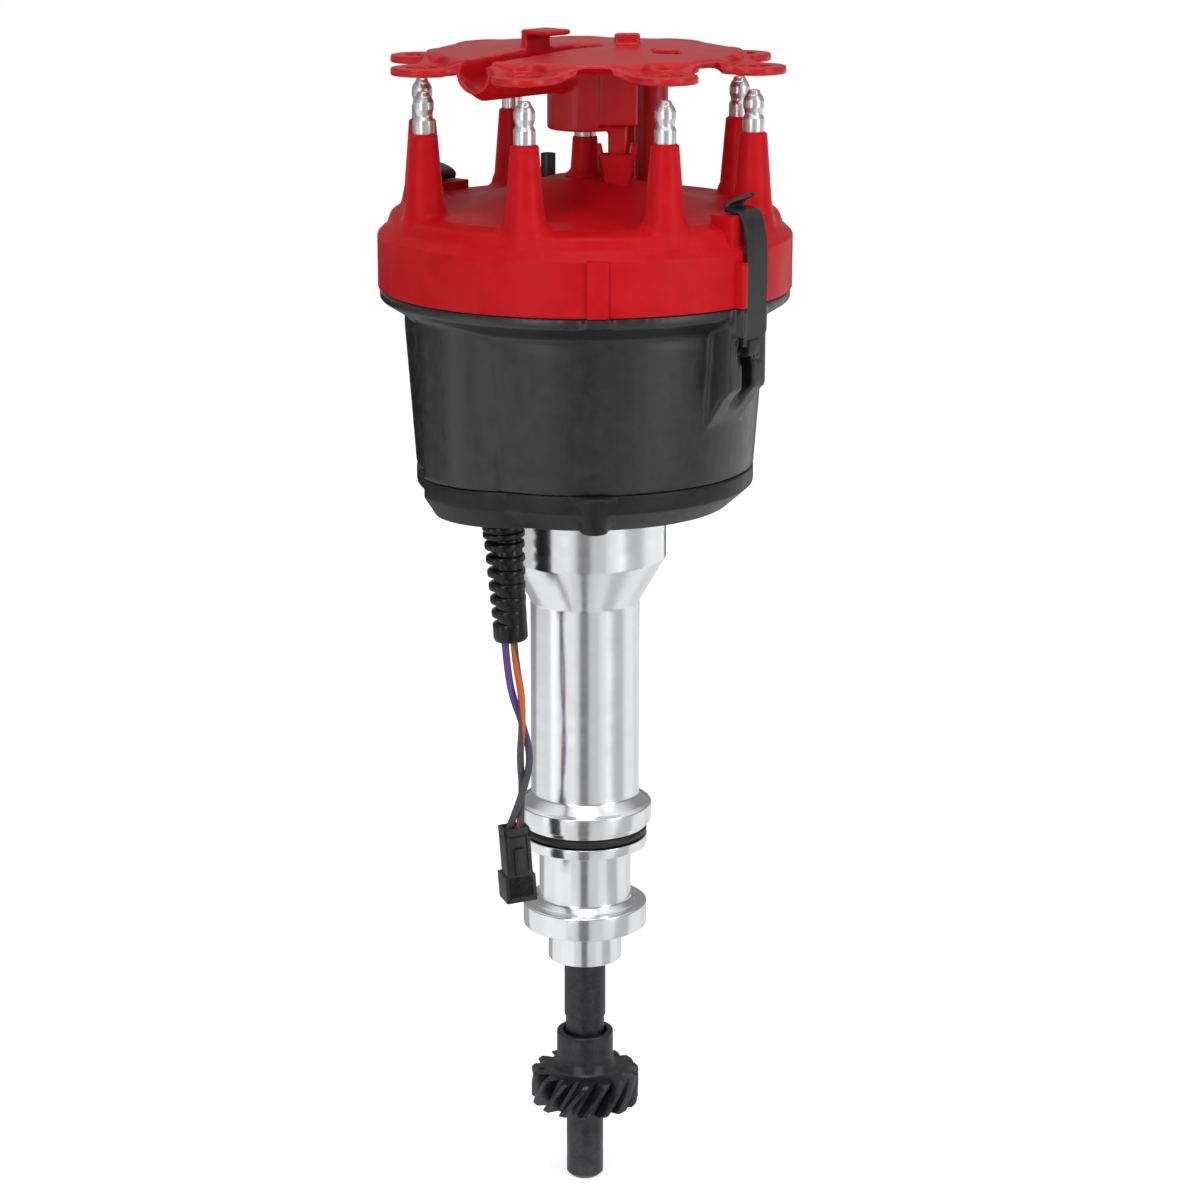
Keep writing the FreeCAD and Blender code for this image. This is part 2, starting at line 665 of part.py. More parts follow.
def lower_cover():
    rim_low = SEAM_Z - COVER_RIM_H
    inside_z = COVER_BOTTOM_Z + COVER_WALL
    outer = lathe((0, COVER_BOTTOM_Z), (COVER_FOOT_R, COVER_BOTTOM_Z), (COVER_R, rim_low),
                  (COVER_R, SEAM_Z), (0, SEAM_Z))
    swelling = bulge(BULGE_R - BULGE_FOOT_IN, BULGE_R, COVER_BOTTOM_Z, rim_low)
    swelling_rim = bulge(BULGE_R, BULGE_R, rim_low, SEAM_Z)
    body = fused(outer, swelling, swelling_rim, *[cover_boss(angle) for angle in BOSS_ANGLES])
    collar_r = HEAD_R + COVER_WALL
    hollow = lathe((collar_r, inside_z), (COVER_FOOT_R - COVER_WALL, inside_z),
                   (COVER_R - COVER_WALL, rim_low), (COVER_R - COVER_WALL, SEAM_Z), (collar_r, SEAM_Z))
    pillars = [post(BOSS_R, COVER_BOTTOM_Z, SEAM_Z, at_angle(BOSS_RADIUS, a)) for a in BOSS_ANGLES]
    lead_place = at_angle(LEAD_RADIUS, LEAD_ANGLE)
    lead_pillar = post(RELIEF_NECK_R + COVER_WALL, COVER_BOTTOM_Z, SEAM_Z, lead_place)
    hollow = hollow.cut(pillars + [lead_pillar])
    centre = post(HEAD_R + SEAT_GAP, COVER_BOTTOM_Z, SEAM_Z)
    lead_hole = post(RELIEF_NECK_R, COVER_BOTTOM_Z, SEAM_Z, lead_place)
    cuts = [hollow, centre, lead_hole]
    for angle in BOSS_ANGLES:
        place = at_angle(BOSS_RADIUS, angle)
        cuts.append(post(BOSS_SCREW_R + PART_GAP / 2, COVER_BOTTOM_Z, SEAM_Z, place))
        cuts.append(post(SCREW_HEAD_R + PART_GAP, COVER_BOTTOM_Z, COVER_BOTTOM_Z + SCREW_HEAD_SINK, place))
    return body.cut(cuts)


def cover_screws():
    place = at_angle(BOSS_RADIUS, 0)
    under_head = COVER_BOTTOM_Z + SCREW_HEAD_SINK
    head_bottom = under_head - SCREW_HEAD_H
    head = post(SCREW_HEAD_R, head_bottom, under_head, place)
    shank = post(BOSS_SCREW_R, under_head, FLANGE_TOP, place)
    slot = block(SCREW_HEAD_R, BOSS_RADIUS - SCREW_SLOT_W / 2, BOSS_RADIUS + SCREW_SLOT_W / 2,
                 head_bottom, head_bottom + SCREW_SLOT_H)
    return Part.makeCompound(around(head.fuse(shank).cut(slot), BOSS_ANGLES))


# Shell: the tapered moulded cup that carries the cap and the clip sockets
def shell_outer_r(z):
    share = (z - SEAM_Z) / (SHELL_BODY_TOP_Z - SEAM_Z)
    return COVER_R + share * (SHELL_TOP_R - COVER_R)


def clip_socket():
    """The boss on the shell in which one clip pivots: a taper below, guide bars above."""
    rim_low = SHELL_RIM_Z - SHELL_RIM_H
    inside = SHELL_TOP_R - SOCKET_ROOT
    profile = [
        (inside, SOCKET_TIP_Z), (shell_outer_r(SOCKET_TIP_Z), SOCKET_TIP_Z),
        (SOCKET_R - SOCKET_EDGE, SOCKET_BOTTOM_Z - SOCKET_EDGE), (SOCKET_R, SOCKET_BOTTOM_Z),
        (SOCKET_R, rim_low), (inside, rim_low),
    ]
    body = prism(profile, SOCKET_HALF_W)
    guide_x = CLIP_W / 2 + PART_GAP + GUIDE_W / 2
    guides = []
    for side in (-1, 1):
        guides.append(block(GUIDE_W / 2, SOCKET_R - GUIDE_W, GUIDE_R, SOCKET_GUIDE_Z, SHELL_RIM_Z,
                            side * guide_x))
    return body.fuse(guides)


def clip_socket_slot():
    """The T-shaped slot: wide for the strap, narrow below for its foot, and a bore for its bar."""
    top = SHELL_RIM_Z - SHELL_RIM_H - SOCKET_ROOF
    wide = block(CLIP_W / 2 + PART_GAP, SOCKET_R - CLIP_THICKNESS, SOCKET_R + CUT_PAST,
                 SOCKET_WIDE_BOTTOM_Z, top)
    foot = block(CLIP_FOOT_W / 2 + PART_GAP, CLIP_PIVOT_R - SOCKET_SLOT_DEPTH, SOCKET_R + CUT_PAST,
                 SOCKET_TIP_Z, top)
    bar = Part.makeCylinder(CLIP_BAR_R + 2 * RUNNING_GAP, CLIP_BAR_W + 2 * PART_GAP,
                            Vector(-CLIP_BAR_W / 2 - PART_GAP, -CLIP_PIVOT_R, CLIP_PIVOT_Z),
                            Vector(1, 0, 0))
    return wide.fuse([foot, bar])


def shell():
    rim_low = SHELL_RIM_Z - SHELL_RIM_H
    w = SHELL_WALL
    flare_z = SHELL_BODY_TOP_Z + SHELL_FLARE_H
    outer = lathe(
        (0, SEAM_Z), (COVER_R, SEAM_Z), (SHELL_TOP_R, SHELL_BODY_TOP_Z), (SHELL_TOP_R, flare_z),
        (SHELL_RIM_R, rim_low), (SHELL_RIM_R, SHELL_RIM_Z), (0, SHELL_RIM_Z),
    )
    swelling = bulge(BULGE_R, BULGE_R + BULGE_SPREAD, SEAM_Z, rim_low)
    tab = block(RIM_TAB_W / 2, SHELL_RIM_R - w, SHELL_RIM_R + CAP_RIB_PROUD, rim_low, SHELL_RIM_Z)
    body = fused(outer, swelling, tab, *around(clip_socket(), CLIP_ANGLES))
    hollow = lathe(
        (0, FLANGE_Z), (COVER_R - w, FLANGE_Z), (SHELL_TOP_R - w, SHELL_BODY_TOP_Z),
        (SHELL_TOP_R - w, flare_z), (SHELL_RIM_R - w, rim_low), (SHELL_RIM_R - w, SHELL_RIM_Z),
        (0, SHELL_RIM_Z),
    )
    centre = post(HEAD_R + SEAT_GAP, SEAM_Z, FLANGE_Z)
    lead_hole = post(RELIEF_END_R, SEAM_Z, FLANGE_Z, at_angle(LEAD_RADIUS, LEAD_ANGLE))
    screw_holes = around(post(BOSS_SCREW_R + PART_GAP / 2, SEAM_Z, FLANGE_Z, at_angle(BOSS_RADIUS, 0)),
                         BOSS_ANGLES)
    return body.cut([hollow, centre, lead_hole] + screw_holes + around(clip_socket_slot(), CLIP_ANGLES))


# Cap: skirt, shoulder, flat deck and a low hill under the coil tower
def tower(top_r, base_r, top_z, base_z, circle_r=0.0):
    column = faceted(TOWER_SIDES, (base_r, base_z), (top_r, top_z))
    return column.translated(at_angle(circle_r, 0))


def cap_lug():
    """The ledge that a clip hooks over, with a wall on each side of the strap."""
    inside = CLIP_W / 2 + PART_GAP
    wall_x = inside + LUG_WALL / 2
    low = CAP_SKIRT_TOP_Z - LUG_WALL
    pieces = [block(inside, LUG_INNER_R, LUG_OUTER_R, low, LUG_TOP_Z)]
    for side in (-1, 1):
        pieces.append(block(LUG_WALL / 2, LUG_INNER_R, LUG_OUTER_R, low, LUG_TOP_Z, side * wall_x))
        pieces.append(block(LUG_WALL / 2, LUG_OUTER_R - LUG_WALL, GUIDE_R, SHELL_RIM_Z, LUG_RIB_TOP_Z,
                            side * wall_x))
    return fused(*pieces)


def cap():
    spigot_r = SHELL_RIM_R - SHELL_WALL - SEAT_GAP
    spigot_low = SHELL_RIM_Z - CAP_SPIGOT_H
    inside_r = spigot_r - CAP_SPIGOT_T
    outer = lathe(
        (0, spigot_low), (spigot_r, spigot_low), (spigot_r, SHELL_RIM_Z),
        (CAP_R, SHELL_RIM_Z), (CAP_R, CAP_SKIRT_TOP_Z),
        (CAP_SHOULDER_R, CAP_SHOULDER_Z), (CAP_SHOULDER_R - CAP_KNEE_IN, CAP_DECK_Z - CAP_KNEE_DROP),
        (CAP_DECK_R, CAP_DECK_Z), (CAP_HILL_R, CAP_DECK_Z), (CAP_HILL_TOP_R, CAP_HILL_TOP_Z),
        (0, CAP_HILL_TOP_Z),
    )
    towers = around(tower(TOWER_TOP_R, TOWER_BASE_R, TOWER_TOP_Z, CAP_SHOULDER_Z, TOWER_CIRCLE_R),
                    TOWER_ANGLES)
    coil_tower = tower(COIL_TOWER_R, COIL_TOWER_BASE_R, COIL_TOWER_TOP_Z, CAP_DECK_Z)
    rib = block(CAP_RIB_W / 2, CAP_R - CAP_WALL, CAP_R + CAP_RIB_PROUD, SHELL_RIM_Z, CAP_SKIRT_TOP_Z)
    lugs = around(cap_lug(), CLIP_ANGLES)
    body = fused(outer, coil_tower, rib, latch_keeper(), *(towers + lugs))
    hollow = lathe(
        (0, spigot_low), (inside_r, spigot_low), (inside_r, CAP_SKIRT_TOP_Z - CAP_WALL / 2),
        (CAP_DECK_R - CAP_WALL / 2, CAP_ROOF_Z), (0, CAP_ROOF_Z),
    )
    hollow = hollow.cut(post(BRUSH_GUIDE_R, BRUSH_GUIDE_BOTTOM_Z, CAP_ROOF_Z))
    bores = around(post(TERMINAL_STEM_R, CONTACT_TOP_Z, TOWER_TOP_Z, at_angle(TOWER_CIRCLE_R, 0)),
                   TOWER_ANGLES)
    coil_bore = post(TERMINAL_STEM_R, SPRING_TOP_Z, COIL_TOWER_TOP_Z)
    brush_bore = post(BRUSH_R + RUNNING_GAP, BRUSH_GUIDE_BOTTOM_Z, SPRING_TOP_Z)
    vent = post(VENT_STEM_R, CAP_ROOF_Z, CAP_HILL_TOP_Z, VENT_PLACE)
    return body.cut([hollow, coil_bore, brush_bore, vent] + bores)


def latch_keeper():
    """The upright box on the hill that the retainer's latch snaps into."""
    wall = KEEPER_WALL
    deep = LATCH_T / 2 + PART_GAP
    outside = block(LATCH_W / 2 + wall, -deep - wall, deep + wall, CAP_DECK_Z, KEEPER_TOP_Z, LATCH_X)
    inside = block(LATCH_W / 2 + PART_GAP, -deep, deep, LATCH_BOTTOM_Z - PART_GAP, KEEPER_TOP_Z, LATCH_X)
    window = block(LATCH_W / 2 - wall / 2, 0, deep + wall, LATCH_BOTTOM_Z - 2 * wall, KEEPER_TOP_Z - 2 * wall,
                   LATCH_X)
    return outside.cut([inside, window])


# Terminals: a turned barrel on each tower, a stem through it, and a contact under the roof
def terminal(top_z, place):
    foot_z = top_z - TERMINAL_H
    neck_z = foot_z + TERMINAL_FOOT_H
    bead_z = top_z - TERMINAL_BEAD_H
    shape = lathe(
        (0, foot_z), (TERMINAL_R, foot_z), (TERMINAL_R, neck_z), (TERMINAL_NECK_R, neck_z + TERMINAL_SLOPE_H),
        (TERMINAL_HEAD_R, bead_z), (TERMINAL_TIP_R, top_z), (0, top_z),
    )
    return shape.translated(place)


def spark_terminals():
    stem = post(TERMINAL_STEM_R, CONTACT_TOP_Z, TOWER_TOP_Z, at_angle(TOWER_CIRCLE_R, 0))
    contact = block(CONTACT_HALF_W, CONTACT_NEAR_R, CONTACT_FAR_R, CONTACT_BOTTOM_Z, CONTACT_TOP_Z)
    barrel = terminal(TERMINAL_TOP_Z, at_angle(TOWER_CIRCLE_R, 0))
    return Part.makeCompound(around(fused(barrel, stem, contact), TOWER_ANGLES))


def coil_terminal():
    barrel = terminal(COIL_TOWER_TOP_Z + TERMINAL_H, ORIGIN)
    return fused(barrel, post(TERMINAL_STEM_R, SPRING_TOP_Z, COIL_TOWER_TOP_Z))


def centre_brush():
    tip = Part.makeCone(BRUSH_R / 2, BRUSH_R, BRUSH_TIP_H, Vector(0, 0, BRUSH_Z))
    return fused(tip, post(BRUSH_R, BRUSH_Z + BRUSH_TIP_H, BRUSH_TOP_Z))


def brush_spring():
    """The coil over the brush, as a plain sleeve of its outer size."""
    return ring(BRUSH_R - 2 * BRUSH_SPRING_WIRE, BRUSH_R - BRUSH_SPRING_WIRE, BRUSH_TOP_Z, SPRING_TOP_Z)


def cap_vent():
    bore_r = VENT_STEM_R - VENT_WALL
    body = lathe((bore_r, CAP_ROOF_Z), (VENT_STEM_R, CAP_ROOF_Z), (VENT_STEM_R, VENT_BASE_Z),
                 (VENT_R, VENT_BASE_Z), (VENT_R, VENT_BASE_Z + VENT_H), (bore_r, VENT_BASE_Z + VENT_H))
    return body.translated(VENT_PLACE)


# Clip: a strap with a pivot bar below and a hook with a finger tab above
def clip():
    t = CLIP_THICKNESS
    inner = CLIP_INNER_R
    outer = inner + t
    hook_low = LUG_TOP_Z + CLIP_HOOK_GAP
    knee_z = hook_low - CLIP_KNEE_H
    strap = prism([
        (inner, CLIP_PIVOT_Z + CLIP_FOOT_H), (outer, CLIP_PIVOT_Z + CLIP_FOOT_H), (outer, knee_z),
        (outer - CLIP_LEAN, hook_low), (LUG_OUTER_R, hook_low + t), (CLIP_HOOK_TIP_R, hook_low + t),
        (CLIP_HOOK_TIP_R, hook_low), (LUG_OUTER_R + CLIP_HOOK_GAP, hook_low), (inner, knee_z),
    ], CLIP_W / 2)
    foot_low = CLIP_PIVOT_Z - CLIP_BAR_R
    foot_top = CLIP_PIVOT_Z + CLIP_FOOT_H
    foot = prism([
        (CLIP_PIVOT_R, foot_low), (outer, foot_low), (outer, foot_top), (inner, foot_top),
        (inner, foot_low + t), (CLIP_PIVOT_R, foot_low + t),
    ], CLIP_FOOT_W / 2)
    bar = Part.makeCylinder(CLIP_BAR_R, CLIP_BAR_W, Vector(-CLIP_BAR_W / 2, -CLIP_PIVOT_R, CLIP_PIVOT_Z),
                            Vector(1, 0, 0))
    half = CLIP_W / 2
    tab_r = CLIP_HOOK_TIP_R + t / 2
    tab_z = hook_low + t / 2
    corners = [Vector(-half, -tab_r, tab_z), Vector(half, -tab_r, tab_z),
               Vector(CLIP_TAB_TIP_X, -tab_r - CLIP_TAB_RUN, tab_z + CLIP_TAB_H)]
    tab = Part.Face(Part.makePolygon(corners + corners[:1])).extrude(Vector(0, t / 2, t))
    return fused(strap, foot, bar, tab)


# Wire retainer: domed plate with eight eared pockets and a channel for the coil wire
def retainer_dome(inset, bottom):
    """The plate's form: flat in the middle, sloping out to a bevelled edge."""
    top = PLATE_TOP_Z - inset
    radius = PLATE_R - inset
    edge_z = top - PLATE_EDGE_DROP
    return lathe((0, bottom), (radius, bottom), (radius, edge_z - PLATE_BEVEL_H),
                 (radius - PLATE_BEVEL_W, edge_z), (PLATE_FLAT_R, top), (0, top))


def channel_solid(radius, floor_z, mouth_r):
    """A U-shaped trough body from the axis out to the mouth, open upwards."""
    centre_z = floor_z + radius
    top = PLATE_TOP_Z + CUT_PAST
    round_floor = Part.makeCylinder(radius, mouth_r, Vector(0, 0, centre_z), Vector(0, -1, 0))
    sides = block(radius, 0, mouth_r, centre_z, top)
    nose = post(radius, centre_z, top)
    return round_floor.fuse([sides, nose])


def retainer_plate():
    """The plate with its lip, the ears round the towers and the scooped pockets above them."""
    tower_place = at_angle(TOWER_CIRCLE_R, 0)
    dome = retainer_dome(0, FLANGE_BOTTOM_Z)
    hollow = retainer_dome(PLATE_WALL, FLANGE_BOTTOM_Z)
    walls = around(post(EAR_POCKET_R + PLATE_WALL, FLANGE_BOTTOM_Z, PLATE_TOP_Z, tower_place), TOWER_ANGLES)
    ears = around(post(EAR_R, FLANGE_BOTTOM_Z, FLANGE_TOP_Z, tower_place), TOWER_ANGLES)
    lip = ring(PLATE_R - PLATE_WALL, PLATE_R + PLATE_LIP, FLANGE_BOTTOM_Z, FLANGE_TOP_Z)
    plate = dome.cut(hollow).fuse([dome.common(Part.makeCompound(walls)), lip] + ears)
    arch_centre = at_angle(PLATE_R - EAR_R, 0, FLANGE_BOTTOM_Z + RIM_ARCH_RISE - RIM_ARCH_R)
    arch = Part.makeCylinder(RIM_ARCH_R, 2 * EAR_R, arch_centre, Vector(0, -1, 0))
    cuts = around(arch, [i * 360.0 / TOWER_COUNT for i in range(TOWER_COUNT)])
    cuts += around(post(EAR_POCKET_R, FLANGE_TOP_Z, PLATE_TOP_Z, tower_place), TOWER_ANGLES)
    cuts += around(post(EAR_HOLE_R, FLANGE_BOTTOM_Z, FLANGE_TOP_Z, tower_place), TOWER_ANGLES)
    window = Part.makeBox(WINDOW_W, WINDOW_D, PLATE_TOP_Z - FLANGE_BOTTOM_Z,
                          Vector(WINDOW_X, WINDOW_Y - WINDOW_D, FLANGE_BOTTOM_Z))
    return plate.cut(cuts + [window])


def wire_retainer():
    trough = channel_solid(CHANNEL_R + CHANNEL_WALL, CHANNEL_FLOOR_Z - CHANNEL_WALL, CHANNEL_MOUTH_R)
    above = ring(PLATE_FLAT_R / 2, CHANNEL_MOUTH_R + CUT_PAST, FLANGE_TOP_Z, PLATE_TOP_Z + 2 * CUT_PAST)
    above = above.fuse(post(PLATE_FLAT_R, PLATE_TOP_Z, PLATE_TOP_Z + 2 * CUT_PAST))
    trough = turned(trough, CHANNEL_ANGLE).cut(above.cut(retainer_dome(0, FLANGE_BOTTOM_Z)))
    hidden_z = PLATE_TOP_Z - PLATE_WALL / 2
    sleeve = post(COLLAR_SLEEVE_R, COLLAR_SLEEVE_BOTTOM_Z, hidden_z)
    strut = post(POST_R, CAP_DECK_Z + PART_GAP, hidden_z - PLATE_EDGE_DROP, at_angle(POST_RADIUS, POST_ANGLE))
    latch = block(LATCH_W / 2, -LATCH_T / 2, LATCH_T / 2, LATCH_BOTTOM_Z, LATCH_TAB_Z, LATCH_X)
    body = retainer_plate().fuse([trough, sleeve, strut, latch])
    space = turned(channel_solid(CHANNEL_R, CHANNEL_FLOOR_Z, CHANNEL_MOUTH_R + CUT_PAST), CHANNEL_ANGLE)
    sleeve_bore = post(COLLAR_SLEEVE_R - SLEEVE_WALL, COLLAR_SLEEVE_BOTTOM_Z, CHANNEL_FLOOR_Z + CHANNEL_R)
    return body.cut([space, sleeve_bore]).fuse(channel_bridge()).removeSplitter()


def channel_bridge():
    """The tab that holds the coil wire down in its channel."""
    foot = PLATE_TOP_Z - BRIDGE_SINK
    reach = CHANNEL_R + BRIDGE_FOOT
    bridge = block(BRIDGE_W / 2, -reach, CHANNEL_R / 2, foot, BRIDGE_TOP_Z)
    gap = block(BRIDGE_W / 2, -CHANNEL_R, CHANNEL_R, foot, BRIDGE_TOP_Z - BRIDGE_T)
    tab = bridge.cut(gap).rotated(ORIGIN, AXIS, 90)
    return turned(tab.translated(Vector(0, -BRIDGE_RADIUS, 0)), CHANNEL_ANGLE)


# Mechanical advance: sleeve and plate, two weights, cam, springs and stop
def advance_plate():
    sleeve = post(SLEEVE_R, SHOULDER_TOP_Z + PART_GAP, PLATE_TOP_LEVEL)
    plate = post(ADVANCE_PLATE_R, PLATE_Z, PLATE_TOP_LEVEL)
    trim = block(ADVANCE_PLATE_R, ADVANCE_PLATE_HALF, ADVANCE_PLATE_R, PLATE_Z, PLATE_TOP_LEVEL)
    bore = post(PIVOT_R + RUNNING_GAP, SHOULDER_TOP_Z, PLATE_TOP_LEVEL)
    pins = [post(WEIGHT_PIN_R, PLATE_Z, SPRING_Z + SPRING_R, p) for p in weight_pins()]
    posts = [post(ROTOR_POST_R, PLATE_Z, ROTOR_Z, p) for p in rotor_posts()]
    threads = [post(SMALL_SCREW_R, ROTOR_Z - ROTOR_SCREW_L, ROTOR_Z, p) for p in rotor_posts()]
    return fused(sleeve, plate.cut(around(trim, (0, 180))), *(pins + posts)).cut([bore] + threads)


def weight_pins():
    return [Vector(WEIGHT_PIVOT_R, 0, 0), Vector(-WEIGHT_PIVOT_R, 0, 0)]


def rotor_posts():
    return [Vector(ROTOR_POST_X, ROTOR_POST_Y, 0), Vector(-ROTOR_POST_X, -ROTOR_POST_Y, 0)]


def advance_weight(side):
    """A hooked weight on its pin: the heel rides on the cam, the tail swings out."""
    z = WEIGHT_Z
    place = Vector(WEIGHT_PIVOT_R, 0, 0)
    eye = post(WEIGHT_PIN_R + WEIGHT_EYE_WALL, z, z + WEIGHT_H, place)
    arm = Part.makeBox(WEIGHT_ARM_W, WEIGHT_L, WEIGHT_H,
                       Vector(WEIGHT_PIVOT_R - WEIGHT_ARM_W / 2, -WEIGHT_L, z))
    tail = Part.makeBox(WEIGHT_TAIL_W, WEIGHT_TAIL_L, WEIGHT_H,
                        Vector(WEIGHT_PIVOT_R - WEIGHT_TAIL_W, -WEIGHT_L, z))
    heel_near = CAM_REACH + WEIGHT_HEEL_GAP
    heel = Part.makeBox(WEIGHT_PIVOT_R - heel_near, WEIGHT_HEEL_W, WEIGHT_H,
                        Vector(heel_near, -WEIGHT_HEEL_DROP, z))
    hole = post(WEIGHT_PIN_R + RUNNING_GAP, z, z + WEIGHT_H, place)
    weight = fused(eye, arm, tail, heel).cut(hole)
    return weight if side > 0 else turned(weight, 180)


def advance_cam():
    lobe = post(PIVOT_R + CAM_WALL, CAM_Z, CAM_Z + CAM_H)
    bar = Part.makeBox(2 * CAM_REACH, CAM_BAR_W, CAM_H, Vector(-CAM_REACH, -CAM_BAR_W / 2, CAM_Z))
    studs = [post(SPRING_STUD_R, CAM_Z, SPRING_Z + SPRING_R, Vector(side * SPRING_STUD_X, 0, 0))
             for side in (-1, 1)]
    return fused(lobe, bar, *studs).cut(post(PIVOT_R, CAM_Z, CAM_Z + CAM_H))


def advance_springs():
    """A straight coil between each cam stud and the weight pin beyond it."""
    start = SPRING_STUD_X + SPRING_STUD_R + PART_GAP
    length = WEIGHT_PIVOT_R - WEIGHT_PIN_R - PART_GAP - start
    springs = []
    for side in (-1, 1):
        coil = Part.makeCylinder(SPRING_R, length, Vector(side * start, 0, SPRING_Z), Vector(side, 0, 0))
        springs.append(coil)
    return Part.makeCompound(springs)


def trigger_wheel():
    top = TRIGGER_BOTTOM_Z + TRIGGER_H
    hub = post(TRIGGER_HUB_R, TRIGGER_BOTTOM_Z, top)
    tooth = block(TRIGGER_TOOTH_W / 2, 0, TRIGGER_R, TRIGGER_BOTTOM_Z, top)
    teeth = around(tooth, [i * 360.0 / TOWER_COUNT for i in range(TOWER_COUNT)])
    return fused(hub, *teeth).cut(post(SLEEVE_R, TRIGGER_BOTTOM_Z, top))


def rotor():
    disc = post(ROTOR_R, ROTOR_Z, ROTOR_TOP_Z)
    hub = post(ROTOR_HUB_R, ROTOR_Z, ROTOR_HUB_TOP_Z)
    arm = block(ROTOR_ARM_HALF_W, 0, ROTOR_TIP_R - ROTOR_BLADE_L, ROTOR_Z, ROTOR_HUB_TOP_Z)
    balance = turned(block(ROTOR_ARM_HALF_W, 0, ROTOR_R / 2, ROTOR_Z, ROTOR_HUB_TOP_Z - ROTOR_H), 180)
    holes = [post(SMALL_SCREW_R + SEAT_GAP, ROTOR_Z, ROTOR_TOP_Z, p) for p in rotor_posts()]
    return fused(disc, hub, arm, balance).cut(holes)


def rotor_contact():
    low = ROTOR_HUB_TOP_Z
    half = ROTOR_ARM_HALF_W - 2 * ROTOR_CONTACT_T
    arm = block(half, -half, ROTOR_TIP_R, low, CONTACT_ARM_TOP_Z)
    blade = block(half, ROTOR_TIP_R - ROTOR_BLADE_L, ROTOR_TIP_R, low - ROTOR_CONTACT_T, low + ROTOR_BLADE_H)
    return fused(arm, blade)


def rotor_screws():
    return small_screws(rotor_posts(), ROTOR_TOP_Z, ROTOR_SCREW_L)


# Magnetic pickup beside the trigger wheel
def pickup_coil():
    foot_top = FLANGE_TOP + PICKUP_FOOT_H
    body = block(PICKUP_W / 2, PICKUP_NEAR_R, PICKUP_FAR_R, foot_top, PICKUP_TOP_Z)
    pole = block(TRIGGER_TOOTH_W / 2, TRIGGER_R + PICKUP_AIR_GAP, PICKUP_NEAR_R, TRIGGER_BOTTOM_Z,
                 TRIGGER_BOTTOM_Z + TRIGGER_H)
    return turned(fused(body, pole), PICKUP_ANGLE)


def pickup_bracket():
    foot_top = FLANGE_TOP + PICKUP_FOOT_H
    foot = block(PICKUP_W / 2 + PICKUP_EAR_W, RETAINER_R + PART_GAP, PICKUP_FAR_R, FLANGE_TOP, foot_top)
    holes = [post(SMALL_SCREW_R, FLANGE_TOP, foot_top, p) for p in pickup_screw_places()]
    return turned(foot.cut(holes), PICKUP_ANGLE)


def pickup_screw_places():
    middle = (RETAINER_R + PICKUP_FAR_R) / 2
    return [Vector(side * (PICKUP_W + PICKUP_EAR_W) / 2, -middle, 0) for side in (-1, 1)]


def small_screws(places, under_head, depth, angle=0.0):
    """Screws with hexagon heads, standing in tapped holes."""
    screws = []
    for place in places:
        head = hexagon(SMALL_HEAD_FLATS, under_head, under_head + SMALL_HEAD_H).translated(place)
        shank = post(SMALL_SCREW_R, under_head - depth, under_head, place)
        screws.append(turned(head.fuse(shank), angle))
    return Part.makeCompound(screws)


# Strain relief: a head in the cover, a neck through it and a ribbed tail below
def strain_relief():
    length = LEAD_TOP.z - LEAD_END.z
    pitch = length / RELIEF_RIBS
    steps = []
    for rib in range(RELIEF_RIBS):
        low = rib * pitch
        outer = RELIEF_END_R + (RELIEF_R - RELIEF_END_R) * (rib + 0.5) / RELIEF_RIBS
        steps += [(outer, low), (outer, low + RELIEF_RIB_SHARE * pitch),
                  (outer - RELIEF_GROOVE, low + RELIEF_FLOOR_SHARE * pitch)]
    past = length + RELIEF_GROOVE
    core_r = RELIEF_NECK_R - EDGE_BREAK
    tail = faceted(RELIEF_SIDES, *steps, (core_r, length), (core_r, past))
    tail.Placement = FreeCAD.Placement(LEAD_END, FreeCAD.Rotation(AXIS, LEAD_TOP - LEAD_END))
    side = 4 * RELIEF_R
    below = Part.makeBox(side, side, RELIEF_R, LEAD_END - Vector(side / 2, side / 2, RELIEF_R))
    place = at_angle(LEAD_RADIUS, LEAD_ANGLE)
    neck = post(RELIEF_NECK_R, LEAD_TOP.z, SEAM_Z, place)
    head = post(RELIEF_END_R - SEAT_GAP, SEAM_Z, FLANGE_Z, place)
    return fused(tail.cut(below), neck, head)


# Pickup wires: straight runs joined by tangent arcs
def wire_run(route, name):
    edges = []
    radii = []
    start = route[0]
    length = 0.0
    for before, corner, after in zip(route, route[1:], route[2:]):
        way_in = corner - before
        way_out = after - corner
        half_turn = way_in.getAngle(way_out) / 2.0
        reach = 0.45 * min(way_in.Length, way_out.Length)
        radius = reach / math.tan(half_turn)
        radii.append(round(radius, 1))
        first = corner - way_in.normalize() * reach
        last = corner + way_out.normalize() * reach
        inward = (first + last) * 0.5 - corner
        middle = corner + inward.normalize() * (radius / math.cos(half_turn) - radius)
        edges.append(Part.makeLine(start, first))
        edges.append(Part.Arc(first, middle, last).toShape())
        length += edges[-1].Length + edges[-2].Length
        start = last
    edges.append(Part.makeLine(start, route[-1]))
    length += edges[-1].Length
    path = Part.Wire(edges)
    section = Part.Wire(Part.makeCircle(WIRE_R, route[0], route[1] - route[0]))
    tube = path.makePipeShell([section], True, True)
    share = tube.Volume / (math.pi * WIRE_R ** 2 * length)
    print(name, "length", round(length, 2), "radii", radii, "volume share", round(share, 4))
    return tube


# Two-way connector on the end of the wires
def connector_frame(shape):
    turn = FreeCAD.Rotation(AXIS, CONNECTOR_AXIS)
    return shape.transformed(FreeCAD.Placement(CONNECTOR_TOP, turn).toMatrix())


